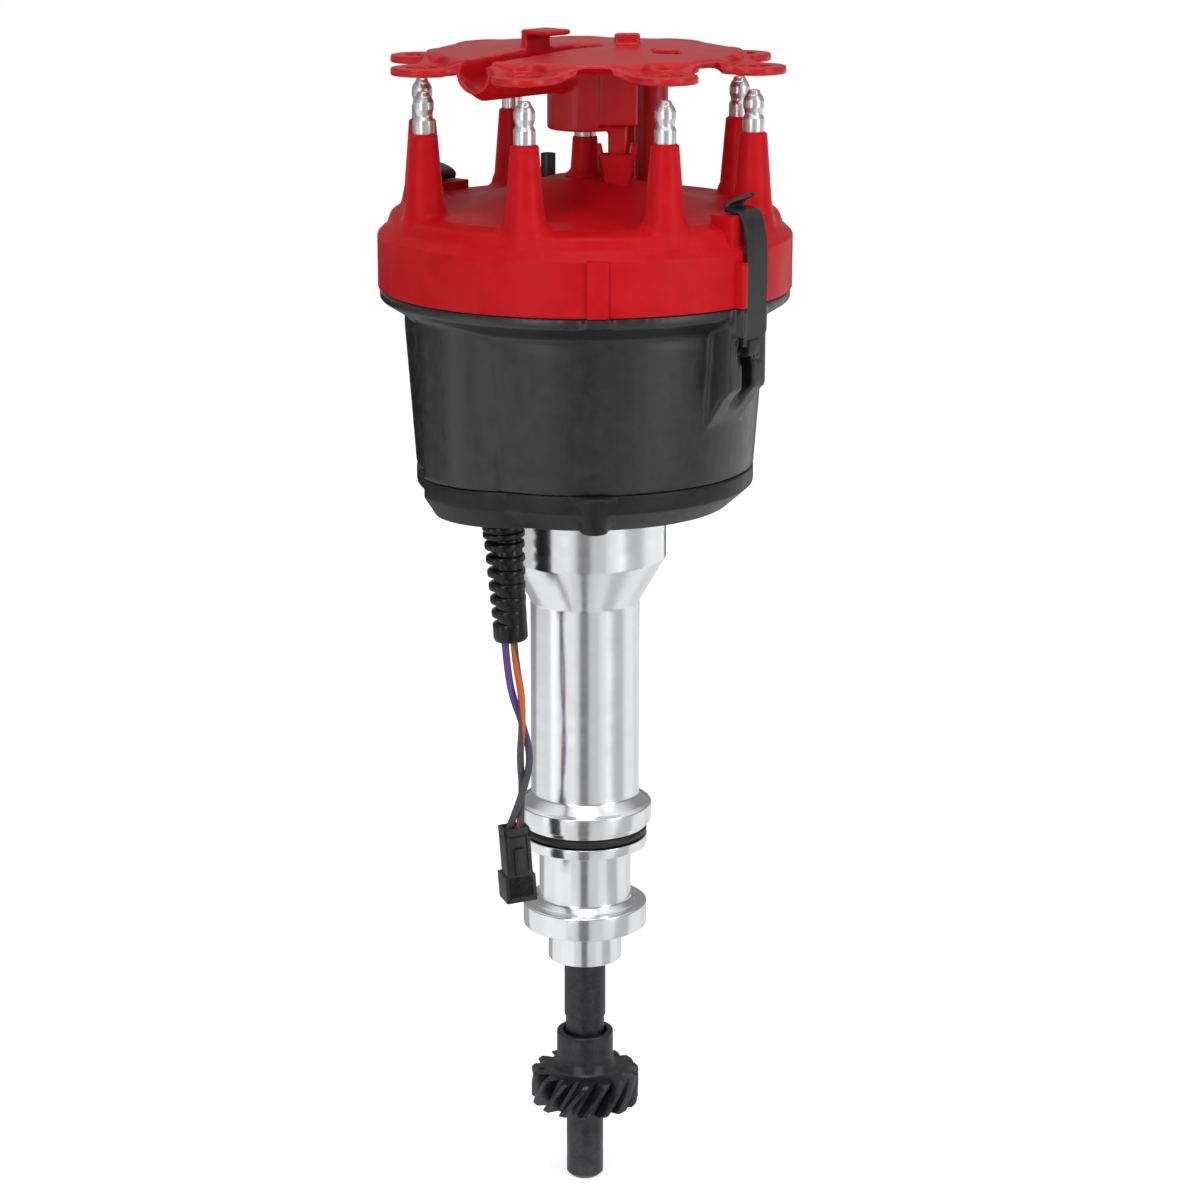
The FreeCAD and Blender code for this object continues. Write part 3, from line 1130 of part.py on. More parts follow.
def pickup_connector():
    front = CONNECTOR_D / 2
    body = block(CONNECTOR_W / 2, -front, front, -CONNECTOR_L, 0)
    collar = block(CONNECTOR_COLLAR_W / 2, -front, CONNECTOR_COLLAR_D - front, -CONNECTOR_L,
                   -CONNECTOR_L + CONNECTOR_COLLAR_L)
    latch = block(CONNECTOR_LATCH_HALF_W, -front - CONNECTOR_LATCH_D, -front,
                  -CONNECTOR_L + CONNECTOR_COLLAR_L, -CONNECTOR_LATCH_DOWN)
    half = CONTACT_BARREL_R + SEAT_GAP
    mouths = [block(half, -half, half, -CONNECTOR_L, -CONNECTOR_L + CONTACT_L, side * CONTACT_PITCH / 2)
              for side in (-1, 1)]
    return connector_frame(fused(body, collar, latch).cut(mouths))


def connector_contacts():
    pins = []
    for side in (-1, 1):
        barrel = ring(CONTACT_BARREL_R / 2, CONTACT_BARREL_R, -CONNECTOR_L + CONTACT_SET_BACK,
                      -CONNECTOR_L + CONTACT_L)
        pins.append(barrel.translated(Vector(side * CONTACT_PITCH / 2, 0, 0)))
    return connector_frame(Part.makeCompound(pins))


inner_race, outer_race, bearing_balls = upper_bearing()
save(housing(), "housing")
save(o_ring(), "o_ring")
save(lower_bushing(), "lower_bushing")
save(outer_race, "bearing_outer_race")
save(inner_race, "bearing_inner_race")
save(bearing_balls, "bearing_balls")
save(bearing_retainer(), "bearing_retainer")
save(small_screws([at_angle(RETAINER_SCREW_CIRCLE_R, a) for a in RETAINER_SCREW_ANGLES],
                  RETAINER_TOP_Z, SMALL_SCREW_DEPTH), "retainer_screws")
save(shaft(), "drive_shaft")
save(drive_gear(), "drive_gear")
save(gear_roll_pin(), "gear_roll_pin")
save(lower_cover(), "lower_cover")
save(cover_screws(), "cover_screws")
save(shell(), "base_shell")
save(cap(), "cap")
save(spark_terminals(), "spark_terminals")
save(coil_terminal(), "coil_terminal")
save(centre_brush(), "centre_brush")
save(brush_spring(), "brush_spring")
save(cap_vent(), "cap_vent")
for clip_name, clip_angle in zip(("right_clip", "left_clip"), CLIP_ANGLES):
    save(turned(clip(), clip_angle), clip_name)
save(wire_retainer(), "wire_retainer")
save(advance_plate(), "advance_plate")
save(advance_weight(1), "advance_weight_right")
save(advance_weight(-1), "advance_weight_left")
save(advance_cam(), "advance_cam")
save(advance_springs(), "advance_springs")
save(trigger_wheel(), "trigger_wheel")
save(rotor(), "rotor")
save(rotor_contact(), "rotor_contact")
save(rotor_screws(), "rotor_screws")
save(pickup_coil(), "pickup_coil")
save(pickup_bracket(), "pickup_bracket")
save(small_screws(pickup_screw_places(), FLANGE_TOP + PICKUP_FOOT_H, SMALL_SCREW_DEPTH, PICKUP_ANGLE),
     "pickup_screws")
save(strain_relief(), "strain_relief")
save(wire_run(VIOLET_ROUTE, "violet wire"), "violet_wire")
save(wire_run(ORANGE_ROUTE, "orange wire"), "orange_wire")
save(pickup_connector(), "pickup_connector")
save(connector_contacts(), "connector_contacts")
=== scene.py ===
import math

import bmesh
import bpy
from mathutils import Matrix, Vector


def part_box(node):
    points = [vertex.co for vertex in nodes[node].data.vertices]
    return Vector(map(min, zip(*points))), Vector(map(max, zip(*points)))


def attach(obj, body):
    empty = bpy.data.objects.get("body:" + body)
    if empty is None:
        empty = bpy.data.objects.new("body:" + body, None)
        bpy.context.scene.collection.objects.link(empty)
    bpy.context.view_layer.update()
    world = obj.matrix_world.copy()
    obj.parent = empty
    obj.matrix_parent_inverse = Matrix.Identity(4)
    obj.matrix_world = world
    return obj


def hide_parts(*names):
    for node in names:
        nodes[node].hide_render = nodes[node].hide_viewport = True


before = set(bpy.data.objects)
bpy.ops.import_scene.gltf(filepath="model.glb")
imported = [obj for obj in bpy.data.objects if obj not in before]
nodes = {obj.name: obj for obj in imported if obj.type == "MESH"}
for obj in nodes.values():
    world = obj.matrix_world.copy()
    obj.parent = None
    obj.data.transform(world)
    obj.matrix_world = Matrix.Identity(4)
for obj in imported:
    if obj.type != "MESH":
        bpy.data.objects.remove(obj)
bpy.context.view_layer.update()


# Camera: a little left of the front rib and 15 degrees above level, as the photograph was taken,
# with a long lens. The axis of the object stands left of the middle of the frame.
FRAME_PX = 1200
FOCAL_PX = 3250
AXIS_PX = 585
CAMERA_AZIMUTH = math.radians(-3.3)
CAMERA_PITCH = math.radians(14.8)
CAMERA_DISTANCE = 1.006
CAMERA_HEIGHT = 0.3387


def around_axis(radius, azimuth, height):
    """A point round the object's axis; azimuth 0 is the front (-Y) and grows towards +X."""
    return Vector((radius * math.sin(azimuth), -radius * math.cos(azimuth), height))


camera = bpy.data.objects.new("camera", bpy.data.cameras.new("camera"))
camera.data.sensor_width = 36.0
camera.data.lens = FOCAL_PX / FRAME_PX * camera.data.sensor_width
camera.data.shift_x = (FRAME_PX / 2 - AXIS_PX) / FRAME_PX
camera.data.clip_end = 100.0
camera.location = around_axis(CAMERA_DISTANCE, CAMERA_AZIMUTH, CAMERA_HEIGHT)
camera.rotation_euler = (math.pi / 2 - CAMERA_PITCH, 0, CAMERA_AZIMUTH)
bpy.context.scene.collection.objects.link(camera)
bpy.context.scene.camera = camera
bpy.context.scene.view_settings.view_transform = "Standard"


# Studio: a pale floor just under the shaft's tip, a surround that is white to the camera, two tall
# soft lights in front and one above. Metal and gloss see the surround dim near the horizon, where a
# studio has its dark walls, and bright overhead. Distances are in metres.
WHITE = (1.0, 1.0, 1.0, 1.0)
AMBIENT = 0.42
SKY_LOW = 0.28
SKY_HIGH = 1.0
SKY_TURN = (0.45, 0.75)


def linear(colour):
    """An sRGB hex colour as linear red, green, blue and alpha."""
    channels = [int(colour[i:i + 2], 16) / 255 for i in (1, 3, 5)]
    return tuple(c / 12.92 if c <= 0.04045 else ((c + 0.055) / 1.055) ** 2.4 for c in channels) + (1.0,)


def add(tree, kind, inputs=None, **settings):
    """Add a node: settings are its own properties, inputs are values or sockets to link."""
    node = tree.nodes.new(kind)
    for key, value in settings.items():
        setattr(node, key, value)
    for key, value in (inputs or {}).items():
        if isinstance(value, bpy.types.NodeSocket):
            tree.links.new(value, node.inputs[key])
        else:
            node.inputs[key].default_value = value
    return node


def seen_directly(tree):
    """1 for rays from the camera, or by way of metal or glass, and 0 for the rest."""
    path = add(tree, "ShaderNodeLightPath")
    mirror = add(tree, "ShaderNodeMath", {0: path.outputs["Is Glossy Ray"],
                                          1: path.outputs["Is Transmission Ray"]}, operation="MAXIMUM")
    return add(tree, "ShaderNodeMath", {0: path.outputs["Is Camera Ray"], 1: mirror.outputs[0]},
               operation="MAXIMUM").outputs[0]


world = bpy.data.worlds.new("studio")
world.use_nodes = True
air = world.node_tree
air.nodes.clear()
ray = add(air, "ShaderNodeLightPath")
way = add(air, "ShaderNodeSeparateXYZ", {0: add(air, "ShaderNodeTexCoord").outputs[0]})
gloss = add(air, "ShaderNodeMapRange", {"Value": way.outputs["Z"], "From Min": SKY_TURN[0],
                                        "From Max": SKY_TURN[1], "To Min": SKY_LOW, "To Max": SKY_HIGH})
dim = add(air, "ShaderNodeMix", {0: ray.outputs["Is Glossy Ray"], 2: AMBIENT, 3: gloss.outputs[0]})
level = add(air, "ShaderNodeMix", {0: ray.outputs["Is Camera Ray"], 2: dim.outputs[0], 3: 1.0})
sky = add(air, "ShaderNodeBackground", {"Color": WHITE, "Strength": level.outputs[0]})
add(air, "ShaderNodeOutputWorld", {"Surface": sky.outputs[0]})
bpy.context.scene.world = world


def flat_card(name, corners):
    """One flat face with these corners."""
    mesh = bpy.data.meshes.new(name)
    mesh.from_pydata([tuple(c) for c in corners], [], [tuple(range(len(corners)))])
    card = bpy.data.objects.new(name, mesh)
    bpy.context.scene.collection.objects.link(card)
    return card


FLOOR_DROP = 0.0002
FLOOR_HALF = 9.0
FLOOR_GLOW = 0.62
floor_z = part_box("drive_shaft")[0].z - FLOOR_DROP
floor = flat_card("floor", [(x * FLOOR_HALF, y * FLOOR_HALF, floor_z)
                            for x, y in ((-1, -1), (1, -1), (1, 1), (-1, 1))])
floor_paint = bpy.data.materials.new("pale_floor")
floor_paint.use_nodes = True
paint = floor_paint.node_tree
paint.nodes.clear()
floor_coat = add(paint, "ShaderNodeBsdfDiffuse", {"Color": linear("#F4F4F4")})
floor_glow = add(paint, "ShaderNodeMath", {0: seen_directly(paint), 1: FLOOR_GLOW}, operation="MULTIPLY")
floor_light = add(paint, "ShaderNodeEmission", {"Color": WHITE, "Strength": floor_glow.outputs[0]})
floor_sum = add(paint, "ShaderNodeAddShader", {0: floor_coat.outputs[0], 1: floor_light.outputs[0]})
add(paint, "ShaderNodeOutputMaterial", {"Surface": floor_sum.outputs[0]})
floor.data.materials.append(floor_paint)

# Over the floor lie glowing sheets, dark and bright, that the camera doesn't see and that only metal and
# gloss show: they are painted reflections. The turned pieces get their upright lines of painted reflection
# from the near ring, and the shell and the cap get their soft painted stripes from the other two. Each sheet
# has its two azimuths in degrees, its glow and its ring.
NEAR = (0.03, 0.74)
MIDDLE = (0.74, 1.7)
FAR = (1.7, 4.0)
PAINTED_REFLECTIONS = [(-15, 4, 0.18, NEAR), (4, 30, 0.74, NEAR), (30, 52, 0.88, NEAR), (52, 84, 0.56, NEAR),
          (84, 120, 0.96, NEAR), (120, 175, 0.80, NEAR), (175, 232, 0.42, NEAR), (-128, -84, 0.98, NEAR),
          (-84, -38, 1.05, NEAR), (-38, -15, 0.80, NEAR),
          (-210, -122, 0.0, MIDDLE), (-122, -79, 0.28, MIDDLE), (-79, -63, 2.3, MIDDLE),
          (-63, -12, 0.72, MIDDLE), (-12, 4, 0.30, MIDDLE), (4, 26, 0.55, MIDDLE), (26, 55, 1.1, MIDDLE),
          (55, 90, 0.55, MIDDLE), (90, 150, 1.1, MIDDLE),
          (-210, -110, 0.10, FAR), (-110, -40, 0.50, FAR), (-40, 40, 0.35, FAR), (40, 80, 0.90, FAR),
          (80, 105, 0.40, FAR), (105, 150, 1.0, FAR)]
SHEET_RISE = 0.001
for start, end, reflection_level, (near, far) in PAINTED_REFLECTIONS:
    edge = [around_axis(reach, math.radians(azimuth), floor_z + SHEET_RISE)
            for reach, turns in ((near, range(start, end + 1)), (far, range(end, start - 1, -1)))
            for azimuth in turns]
    reflection_sheet = flat_card("floor_sheet", edge)
    reflection_paint = bpy.data.materials.new("floor_sheet")
    reflection_paint.use_nodes = True
    reflection_paint.node_tree.nodes.clear()
    # Each sheet glows at its own level as a painted reflection: the dark ones paint dark bands, the bright
    # ones painted highlights.
    reflection_glow = add(reflection_paint.node_tree, "ShaderNodeEmission", {"Color": WHITE, "Strength": reflection_level})
    add(reflection_paint.node_tree, "ShaderNodeOutputMaterial", {"Surface": reflection_glow.outputs[0]})
    reflection_sheet.data.materials.append(reflection_paint)
    reflection_sheet.visible_camera = False
    reflection_sheet.visible_diffuse = False
    reflection_sheet.visible_shadow = False
    reflection_sheet.visible_transmission = False

LIGHT_AIM = Vector((0, 0, 0.08))
# The lights: azimuth in degrees, distance from the axis, height, width, length and power in watts.
LIGHTS = {"right_light": (50, 1.5, 0.55, 0.5, 1.4, 7.5), "left_light": (-30, 1.5, 0.5, 0.4, 1.4, 6.3),
          "top_light": (0, 0.7, 1.8, 0.8, 0.8, 9.5)}
for name, (azimuth, distance, height, width, length, power) in LIGHTS.items():
    panel = bpy.data.lights.new(name, "AREA")
    panel.shape = "RECTANGLE"
    panel.size = width
    panel.size_y = length
    panel.energy = power
    light = bpy.data.objects.new(name, panel)
    light.location = around_axis(distance, math.radians(azimuth), height)
    light.rotation_euler = (LIGHT_AIM - light.location).to_track_quat("-Z", "Y").to_euler()
    bpy.context.scene.collection.objects.link(light)


# Pickup lead: two rubber-covered wires, violet and orange, each with a dark grey tracer over a good
# half of its girth. They leave the strain relief, cross twice and enter the connector.
MM = 0.001
WIRE_RADIUS = 1.15 * MM
WIRE_SIDES = 20
WIRE_EDGE = math.radians(40)
VIOLET_ROUTE = [(-26.6, -26.8, 67.4), (-26.0, -26.8, 59.4), (-24.6, -26.1, 49.6), (-21.0, -25.3, 39.2),
                (-18.4, -26.7, 28.6), (-21.5, -29.0, 17.0), (-25.9, -26.6, 4.77)]
ORANGE_ROUTE = [(-23.8, -26.8, 67.4), (-23.2, -26.8, 59.4), (-21.4, -27.9, 49.6), (-21.4, -29.1, 39.2),
                (-22.2, -27.3, 28.6), (-21.1, -24.6, 17.0), (-22.3, -26.6, 5.03)]


def new_object(name, mesh, *materials):
    """An object with this mesh and these materials, in the scene."""
    piece = bpy.data.objects.new(name, mesh)
    for material in materials:
        mesh.materials.append(material)
    bpy.context.scene.collection.objects.link(piece)
    return piece


def route_line(name, route):
    """The smooth line of a route: the points of a NURBS spline that it controls, in metres."""
    curve = bpy.data.curves.new(name, "CURVE")
    curve.dimensions = "3D"
    spline = curve.splines.new("NURBS")
    spline.points.add(len(route) - 1)
    for point, place in zip(spline.points, route):
        point.co = tuple(c * MM for c in place) + (1.0,)
    spline.order_u = 3
    spline.use_endpoint_u = True
    spline.resolution_u = 16
    holder = new_object(name, curve)
    mesh = bpy.data.meshes.new_from_object(holder.evaluated_get(bpy.context.evaluated_depsgraph_get()))
    points = [v.co.copy() for v in mesh.vertices]
    bpy.data.objects.remove(holder)
    bpy.data.meshes.remove(mesh)
    return points


def tube_along(name, points, radius, sides, material):
    """A closed tube along a line, with a UV map that runs round it (U) and along it in mm (V)."""
    bm = bmesh.new()
    uv_layer = bm.loops.layers.uv.new("around_and_along")
    rings = []
    along = [0.0]
    across = Vector((1, 0, 0))
    for i, point in enumerate(points):
        way = (points[min(i + 1, len(points) - 1)] - points[max(i - 1, 0)]).normalized()
        across = (across - way * across.dot(way)).normalized()
        side = way.cross(across)
        rings.append([bm.verts.new(point + (across * math.cos(a) + side * math.sin(a)) * radius)
                      for a in (2 * math.pi * k / sides for k in range(sides))])
        if i:
            along.append(along[-1] + (point - points[i - 1]).length / MM)
    for i in range(len(rings) - 1):
        for k in range(sides):
            face = bm.faces.new((rings[i][k], rings[i][(k + 1) % sides],
                                 rings[i + 1][(k + 1) % sides], rings[i + 1][k]))
            for loop, (u, v) in zip(face.loops, ((k, i), (k + 1, i), (k + 1, i + 1), (k, i + 1))):
                loop[uv_layer].uv = (u / sides, along[v])
    bm.faces.new(list(reversed(rings[0])))
    bm.faces.new(rings[-1])
    mesh = bpy.data.meshes.new(name)
    bm.to_mesh(mesh)
    bm.free()
    mesh.shade_smooth()
    mesh.set_sharp_from_angle(angle=WIRE_EDGE)
    return new_object(name, mesh, material)


def new_material(name, **surface):
    """A material with a principled surface, whose even values are set on its own sockets."""
    material = bpy.data.materials.new(name)
    material.use_nodes = True
    shader = material.node_tree.nodes["Principled BSDF"]
    for key, value in surface.items():
        shader.inputs[key.replace("_", " ").title().replace("Ior", "IOR")].default_value = value
    return material, material.node_tree, shader


def link_surface(tree, shader, colour, rough, height, strength, depth):
    """Link a surface's colour and roughness, and the height of its relief, which is depth metres deep."""
    bump = add(tree, "ShaderNodeBump", {"Height": height.outputs[0], "Strength": strength, "Distance": depth})
    for name, socket in (("Base Color", colour.outputs[2]), ("Roughness", rough.outputs[0]),
                         ("Normal", bump.outputs[0])):
        tree.links.new(socket, shader.inputs[name])


# Extruded rubber: even colour with a soft sheen, broken by a fine grain. The real grain is a few
# hundredths of a millimetre and is drawn about 1 mm coarse, so that it shows.
TRACER_SHARE = 0.62
TRACER_BLUR = 0.02
RUBBER_GRAINS_PER_M = 900.0
RUBBER_ROUGHNESS = (0.36, 0.52)


def wire_insulation(name, colour, tracer, start, twist_per_mm):
    """Coloured rubber with a tracer that begins at a share of the girth and turns along the wire."""
    material, tree, shader = new_material(name, specular_ior_level=0.4)
    place = add(tree, "ShaderNodeUVMap", uv_map="around_and_along")
    parts = add(tree, "ShaderNodeSeparateXYZ", {0: place.outputs[0]})
    turn = add(tree, "ShaderNodeMath", {0: parts.outputs["Y"], 1: twist_per_mm, 2: parts.outputs["X"]},
               operation="MULTIPLY_ADD")
    phase = add(tree, "ShaderNodeMath", {0: turn.outputs[0], 1: start}, operation="ADD")
    share = add(tree, "ShaderNodeMath", {0: phase.outputs[0]}, operation="FRACT")
    stripe = add(tree, "ShaderNodeMapRange", {"Value": share.outputs[0],
                                              "From Min": TRACER_SHARE - TRACER_BLUR,
                                              "From Max": TRACER_SHARE + TRACER_BLUR})
    mix = add(tree, "ShaderNodeMix", {0: stripe.outputs[0], 6: linear(tracer), 7: linear(colour)},
              data_type="RGBA")
    grain = add(tree, "ShaderNodeTexNoise", {"Scale": RUBBER_GRAINS_PER_M, "Detail": 3.0,
                                             "Vector": add(tree, "ShaderNodeTexCoord").outputs["Object"]})
    rough = add(tree, "ShaderNodeMapRange", {"Value": grain.outputs[0], "To Min": RUBBER_ROUGHNESS[0],
                                             "To Max": RUBBER_ROUGHNESS[1]})
    link_surface(tree, shader, mix, rough, grain, 0.25, 0.04 * MM)
    return material


TRACER_GREY = "#46464A"
violet_rubber = wire_insulation("extruded_violet_rubber", "#5B3F8C", TRACER_GREY, 0.42, 0.012)
orange_rubber = wire_insulation("extruded_orange_rubber", "#C75A20", TRACER_GREY, 0.32, 0.016)
violet_line = route_line("violet_line", VIOLET_ROUTE)
orange_line = route_line("orange_line", ORANGE_ROUTE)
violet_wire = tube_along("violet_lead", violet_line, WIRE_RADIUS, WIRE_SIDES, violet_rubber)
orange_wire = tube_along("orange_lead", orange_line, WIRE_RADIUS, WIRE_SIDES, orange_rubber)
for wire, node in ((violet_wire, "violet_wire"), (orange_wire, "orange_wire")):
    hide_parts(node)
    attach(wire, "root")


# Housing: one turning of aluminium bar, with the pilot and its ring groove, the long tube, the
# cone and the flange that the shell is screwed to. Every corner is broken or left with the
# radius of the tool. Sections are given as radius, height and fillet of each corner, in mm.
HOUSING = [(9.0, -48.0, 0.4), (12.0, -48.0, 0.5), (12.0, -36.0, 0.3), (20.2, -36.0, 0.7),
           (20.2, -28.3, 0.5), (16.6, -28.3, 0.5), (14.95, -26.4, 1.4), (14.95, -8.5, 0.5),
           (20.2, -8.5, 0.6), (20.2, -5.0, 0.25), (17.0, -5.0, 0.2), (17.0, -1.6, 0.2),
           (20.2, -1.6, 0.25), (20.2, 0.0, 0.2), (21.6, 0.0, 0.4), (21.6, 5.8, 0.6), (20.1, 6.3, 0.5),
           (17.5, 9.4, 1.2), (17.5, 73.5, 1.2), (25.8, 88.0, 0.9), (25.8, 122.4, 0.2), (49.4, 122.4, 0.4),
           (49.4, 127.4, 0.4), (17.5, 127.4, 0.4), (17.5, 116.4, 0.2), (9.0, 116.4, 0.3)]
HOUSING_SIDES = 160
FLANGE_CUT_Z = (121.0, 129.0)
SCREW_AZIMUTHS = (0, 120, 240)
SCREW_CIRCLE = 45.4
SCREW_HOLE = 2.0
LEAD_AZIMUTH = -45.5
LEAD_CIRCLE = 37.8
LEAD_SLOT_HALF = 6.3
PAST_RIM = 60.0
# A hand leaves smears about 17 mm long on bare metal, and the tool a broader band every nine marks.
SMEAR_SIZE = 1 / 60
MARKS_PER_BAND = 9


def object_place(tree):
    """Where a point lies on its own piece, for a pattern that stays on it."""
    return add(tree, "ShaderNodeTexCoord").outputs["Object"]


def ring_number(tree, pitch):
    """Radius plus height, in tool marks: it counts up across a turned wall and a turned face alike."""
    parts = add(tree, "ShaderNodeSeparateXYZ", {0: object_place(tree)})
    flat = add(tree, "ShaderNodeCombineXYZ", {0: parts.outputs["X"], 1: parts.outputs["Y"]})
    radius = add(tree, "ShaderNodeVectorMath", {0: flat.outputs[0]}, operation="LENGTH")
    both = add(tree, "ShaderNodeMath", {0: radius.outputs["Value"], 1: parts.outputs["Z"]}, operation="ADD")
    return add(tree, "ShaderNodeMath", {0: both.outputs[0], 1: pitch}, operation="DIVIDE").outputs[0]


def turned_metal(name, low, high, pitch, shiny, dull, depth):
    """Metal turned on a lathe; pitch is the tool mark in metres, drawn coarser than the real 0.1 mm."""
    material, tree, shader = new_material(name, metallic=1.0, anisotropic=0.55, anisotropic_rotation=0.25)
    tangent = add(tree, "ShaderNodeTangent", direction_type="RADIAL", axis="Z")
    tree.links.new(tangent.outputs[0], shader.inputs["Tangent"])
    marks = add(tree, "ShaderNodeTexNoise", {"W": ring_number(tree, pitch), "Scale": 1.0, "Detail": 2.0},
                noise_dimensions="1D")
    bands = add(tree, "ShaderNodeTexNoise", {"W": ring_number(tree, MARKS_PER_BAND * pitch), "Scale": 1.0,
                                             "Detail": 3.0}, noise_dimensions="1D")
    smears = add(tree, "ShaderNodeTexNoise", {"Vector": object_place(tree), "Scale": 1 / SMEAR_SIZE,
                                              "Detail": 4.0})
    both = add(tree, "ShaderNodeMath", {0: bands.outputs[0], 1: smears.outputs[0]}, operation="MULTIPLY")
    rough = add(tree, "ShaderNodeMapRange", {"Value": both.outputs[0], "From Min": 0.05, "From Max": 0.45,
                                             "To Min": shiny, "To Max": dull})
    tint = add(tree, "ShaderNodeMix", {0: smears.outputs[0], 6: linear(low), 7: linear(high)},
               data_type="RGBA")
    link_surface(tree, shader, tint, rough, marks, 0.35, depth)
    return material


# Bar turned in one cut: bright, and each highlight is drawn out into an upright line; the light and dark
# bands it draws out are painted reflections of the near floor sheets.
billet = turned_metal("turned_aluminium", "#DEDFE1", "#EEEEF0", 0.4 * MM, 0.17, 0.27, 0.012 * MM)

FILLET_STEPS = 4
FILLET_SHARE = 0.45


def rounded(corners):
    """The points of a section: each corner (radius, height, fillet) in mm is cut by a curve."""
    points = []
    for i, (radius, height, fillet) in enumerate(corners):
        here = Vector((radius, height))
        if not fillet:
            points.append(here)
            continue
        back = Vector(corners[i - 1][:2]) - here
        ahead = Vector(corners[(i + 1) % len(corners)][:2]) - here
        reach = fillet * math.tan((math.pi - back.angle(ahead)) / 2)
        reach = min(reach, FILLET_SHARE * back.length, FILLET_SHARE * ahead.length)
        start = here + back.normalized() * reach
        end = here + ahead.normalized() * reach
        for k in range(FILLET_STEPS + 1):
            share = k / FILLET_STEPS
            points.append(start.lerp(here, share).lerp(here.lerp(end, share), share))
    return points


def made(name, bm, material, crease=35):
    """A piece from a bmesh: normals outwards, smooth but for the edges sharper than crease."""
    bmesh.ops.recalc_face_normals(bm, faces=bm.faces)
    mesh = bpy.data.meshes.new(name)
    bm.to_mesh(mesh)
    bm.free()
    mesh.shade_smooth()
    mesh.set_sharp_from_angle(angle=math.radians(crease))
    return new_object(name, mesh, material)


def revolve(bm, profile, sides=128, place=None):
    """Turn the closed section (radius, height in mm) round the Z axis, then put it in its place."""
    rings = []
    for radius, height in profile:
        on_axis = radius < 0.001
        if on_axis:
            rings.append([bm.verts.new((0, 0, height * MM))] * sides)
        else:
            rings.append([bm.verts.new(around_axis(radius * MM, 2 * math.pi * k / sides, height * MM))
                          for k in range(sides)])
    for low, high in zip(rings, rings[1:] + rings[:1]):
        for k in range(sides):
            after = (k + 1) % sides
            corners = list(dict.fromkeys((low[k], low[after], high[after], high[k])))
            if len(corners) > 2:
                bm.faces.new(corners)
    if place is not None:
        bmesh.ops.transform(bm, matrix=place, verts=list({v for ring in rings for v in ring}))


def settle(piece, crease=35):
    """Bake a piece's modifiers into its mesh."""
    baked = bpy.data.meshes.new_from_object(piece.evaluated_get(bpy.context.evaluated_depsgraph_get()))
    piece.modifiers.clear()
    piece.data = baked
    baked.set_sharp_from_angle(angle=math.radians(crease))


def carve(piece, *tools):
    """Cut the tools out of a piece and throw them away."""
    for tool in tools:
        step = piece.modifiers.new("cut", "BOOLEAN")
        step.operation = "DIFFERENCE"
        step.solver = "EXACT"
        step.object = tool
    settle(piece)
    for tool in tools:
        bpy.data.objects.remove(tool)
    return piece


def block(bm, low_box, low, high_box, high):
    """The faces of a block between two level oblongs (x0, x1, near, far) in mm, one at each height."""
    corners = [bm.verts.new((x * MM, -r * MM, z * MM))
               for (x0, x1, near, far), z in ((low_box, low), (high_box, high))
               for x, r in ((x0, near), (x1, near), (x1, far), (x0, far))]
    sides = ((0, 1, 2, 3), (7, 6, 5, 4), (0, 4, 5, 1), (1, 5, 6, 2), (2, 6, 7, 3), (3, 7, 4, 0))
    return [bm.faces.new([corners[i] for i in side]) for side in sides]


def slab(bm, x0, x1, near, far, low, high, azimuth=0.0, bevel=0.4):
    """A bar with rounded edges, in mm: across, from the axis outwards and up, then turned."""
    faces = block(bm, (x0, x1, near, far), low, (x0, x1, near, far), high)
    bmesh.ops.rotate(bm, cent=(0, 0, 0), matrix=Matrix.Rotation(math.radians(azimuth), 3, "Z"),
                     verts=list({v for face in faces for v in face.verts}))
    if bevel:
        edges = list({e for face in faces for e in face.edges})
        bmesh.ops.bevel(bm, geom=edges, offset=bevel * MM, segments=2, profile=0.5, affect="EDGES")


def put(piece, body, slot, *replaced):
    """Hide the CAD nodes that a piece stands for and put the piece on their body. The slot is not used."""
    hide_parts(*replaced)
    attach(piece, body)
    return piece


housing_bm = bmesh.new()
revolve(housing_bm, rounded(HOUSING), HOUSING_SIDES)
housing = made("housing_turning", housing_bm, billet, crease=30)
slot_bm = bmesh.new()
slab(slot_bm, -LEAD_SLOT_HALF, LEAD_SLOT_HALF, LEAD_CIRCLE, PAST_RIM, *FLANGE_CUT_Z, LEAD_AZIMUTH,
     bevel=0)
round_cuts = bmesh.new()
ROUND_CUTS = [(LEAD_SLOT_HALF, LEAD_CIRCLE, LEAD_AZIMUTH, 32)]
ROUND_CUTS += [(SCREW_HOLE, SCREW_CIRCLE, azimuth, 24) for azimuth in SCREW_AZIMUTHS]
low, high = FLANGE_CUT_Z
for hole, circle, azimuth, sides in ROUND_CUTS:
    revolve(round_cuts, [(0, low), (hole, low), (hole, high), (0, high)], sides,
            Matrix.Translation(around_axis(circle * MM, math.radians(azimuth), 0)))
carve(housing, made("lead_slot", slot_bm, billet), made("round_cuts", round_cuts, billet))
put(housing, "root", "billet", "housing")


# Sealing ring: a plain rubber ring of round section, stretched into the groove of the upper land.
RING_SECTION = 1.55
RING_RADIUS = 18.55
RING_HEIGHT = -3.3
RING_STEPS = 20
CLOUD_TINT = {"From Min": 0.35, "From Max": 0.65}
CLOUD_GLOSS = {"From Min": 0.3, "From Max": 0.7}
CLOUD_RELIEF = 3.0


